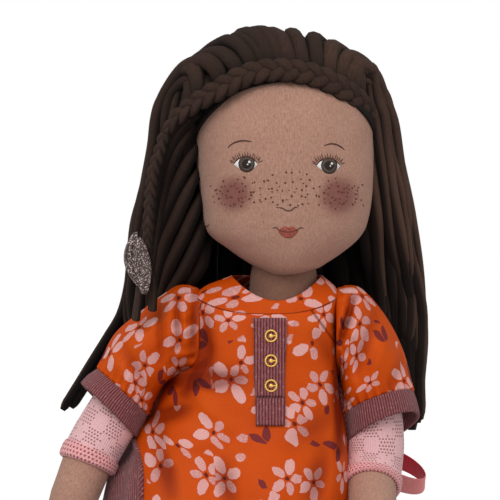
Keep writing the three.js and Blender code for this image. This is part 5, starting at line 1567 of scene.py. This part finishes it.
# [height in the foot, width, toes' reach, heel's reach], as shares of the foot's own
FOOT_ROWS = [[0, 0.86, 0.9, 0.86], [2.2, 0.98, 0.98, 0.97], [6, 1, 1, 1], [10, 0.94, 0.86, 1],
             [14, 0.86, 0.6, 0.96], [19, 0.8, 0.34, 0.86]]
FOOT_WIDTH, TOES, HEEL = 12, 31, 12.6
SUEDE_OUT = 1.9


def leg_point(side, far, across=0.0, up=0.0):
    """A place on a leg, by how far it is from the hip, and how far beside and above the leg's line."""
    far, across, up = (part[..., None] for part in np.broadcast_arrays(far, across, up))
    outwards = side * math.sin(SPLAY)
    return (np.array([side * 19.5, -26, 15.5]) + far * np.array([outwards, -math.cos(SPLAY), 0])
            + across * np.array([math.cos(SPLAY), outwards, 0]) + up * np.array([0, 0, 1.0]))


def foot_point(side, height, grow=0.0):
    """The foot's form, lying: its toes up, its sole at the far end of the leg."""
    a = circle(64)[:, None]
    wide, toes, heel = columns(FOOT_ROWS, height)
    up = -np.sin(a) * np.where(np.sin(a) < 0, toes * TOES + grow, heel * HEEL + grow)
    across = powered(np.cos(a), 0.9) * (wide * FOOT_WIDTH + grow)
    return leg_point(side, ANKLE + FOOT_HEIGHT - height, across, up)


turn = circle(64)[:, None]
for side, name in ((-1, "right"), (1, "left")):
    bodies = ("thigh_" + name, "shin_" + name)
    places = np.linspace(0, ANKLE, 150)
    radius = np.interp(places, *LEG_RADII.T)
    points, uv = swept(leg_point(side, places), radius)
    behind = np.linspace(-15.2, 0, 20)[:-1]
    top, top_uv = swept(leg_point(side, behind), np.sqrt(np.clip(THIGH_RADIUS ** 2 - behind ** 2, 0.5, None)))
    chunks = [capped(np.concatenate([top, points], 1), np.concatenate([top_uv - [0, 0.015], uv], 1))]
    height = np.linspace(0, 19, 40)
    chunks.append(capped(foot_point(side, height), spread(np.linspace(0, 0.09, 65)[:, None], height * 0.001)))
    leg = make("leg_stuffed_" + name, chunks, skin_jersey)
    start, end = (tuple(leg_point(side, KNEE + past) * 0.001) for past in (-10, 10))
    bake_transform(leg)
    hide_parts("thigh_" + name, "shin_foot_" + name)

    places = np.linspace(23, 144, 120)
    radius = np.interp(places, *LEGGING_RADII.T)
    points, uv = swept(leg_point(side, places), radius, 96)
    legging = make("legging_knit_" + name, [quilt(points, uv, wrap=True)], pink)
    walled(legging, 1.2)
    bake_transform(legging)
    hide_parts("legging_thigh_" + name, "legging_shin_" + name)
    hem_path = leg_point(side, np.linspace(142.2, 150.2, 26))
    hem = make("legging_rolled_hem_" + name, [rolled_hem(hem_path, 12.9, 1.5, 12.2)], pink)
    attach(hem, "shin_" + name)
    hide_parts("legging_hem_" + name)

    # Strap shoes of suede with an open instep and a rubber sole
    top = 18.5 - 9.5 * step(-np.sin(turn), 0.15, 0.8)
    height = -0.2 + (top + 0.2) * np.linspace(0, 1, 40)
    uv = spread(np.linspace(0, 0.1, 65)[:, None], np.concatenate([height, height[:1]]) * 0.001)
    shoe = quilt(foot_point(side, height, SUEDE_OUT), uv, wrap=True, poles=(True, False))
    upper = make("shoe_suede_" + name, [shoe], suede)
    walled(upper, 1.5)
    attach(upper, "shin_" + name)
    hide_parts("shoe_upper_" + name)
    a = np.linspace(-0.1 * pi, 1.1 * pi, 60)
    arch = leg_point(side, ANKLE + FOOT_HEIGHT - 11.6, 12.4 * np.cos(a), 3 + 13.5 * np.sin(a))
    chunk, _ = ribbon_strip(arch, leg_point(side, 1) - leg_point(side, 0), 6.0, 1.6)
    strap = make("shoe_strap_suede_" + name, [chunk], suede)
    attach(strap, "shin_" + name)
    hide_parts("shoe_strap_" + name)
    # The sole's edge, from the foot outwards: how far in it lies, and how deep
    rim = np.array([0.3, 0.05, 0, 0, 0.1, 0.6])
    deep = np.array([0.3, 0.5, 0.9, 2.6, 3.0, 3.3])
    up = -np.sin(turn) * (np.where(np.sin(turn) < 0, TOES, HEEL) + SUEDE_OUT - rim)
    across = powered(np.cos(turn), 0.9) * (FOOT_WIDTH + SUEDE_OUT - rim)
    grid = leg_point(side, ANKLE + FOOT_HEIGHT + deep, across, up)
    uv = spread(np.linspace(0, 0.1, 65)[:, None], deep * 0.001)
    sole = make("shoe_sole_rubber_" + name, [capped(grid, uv)], rubber)
    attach(sole, "shin_" + name)
    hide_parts("shoe_sole_" + name)
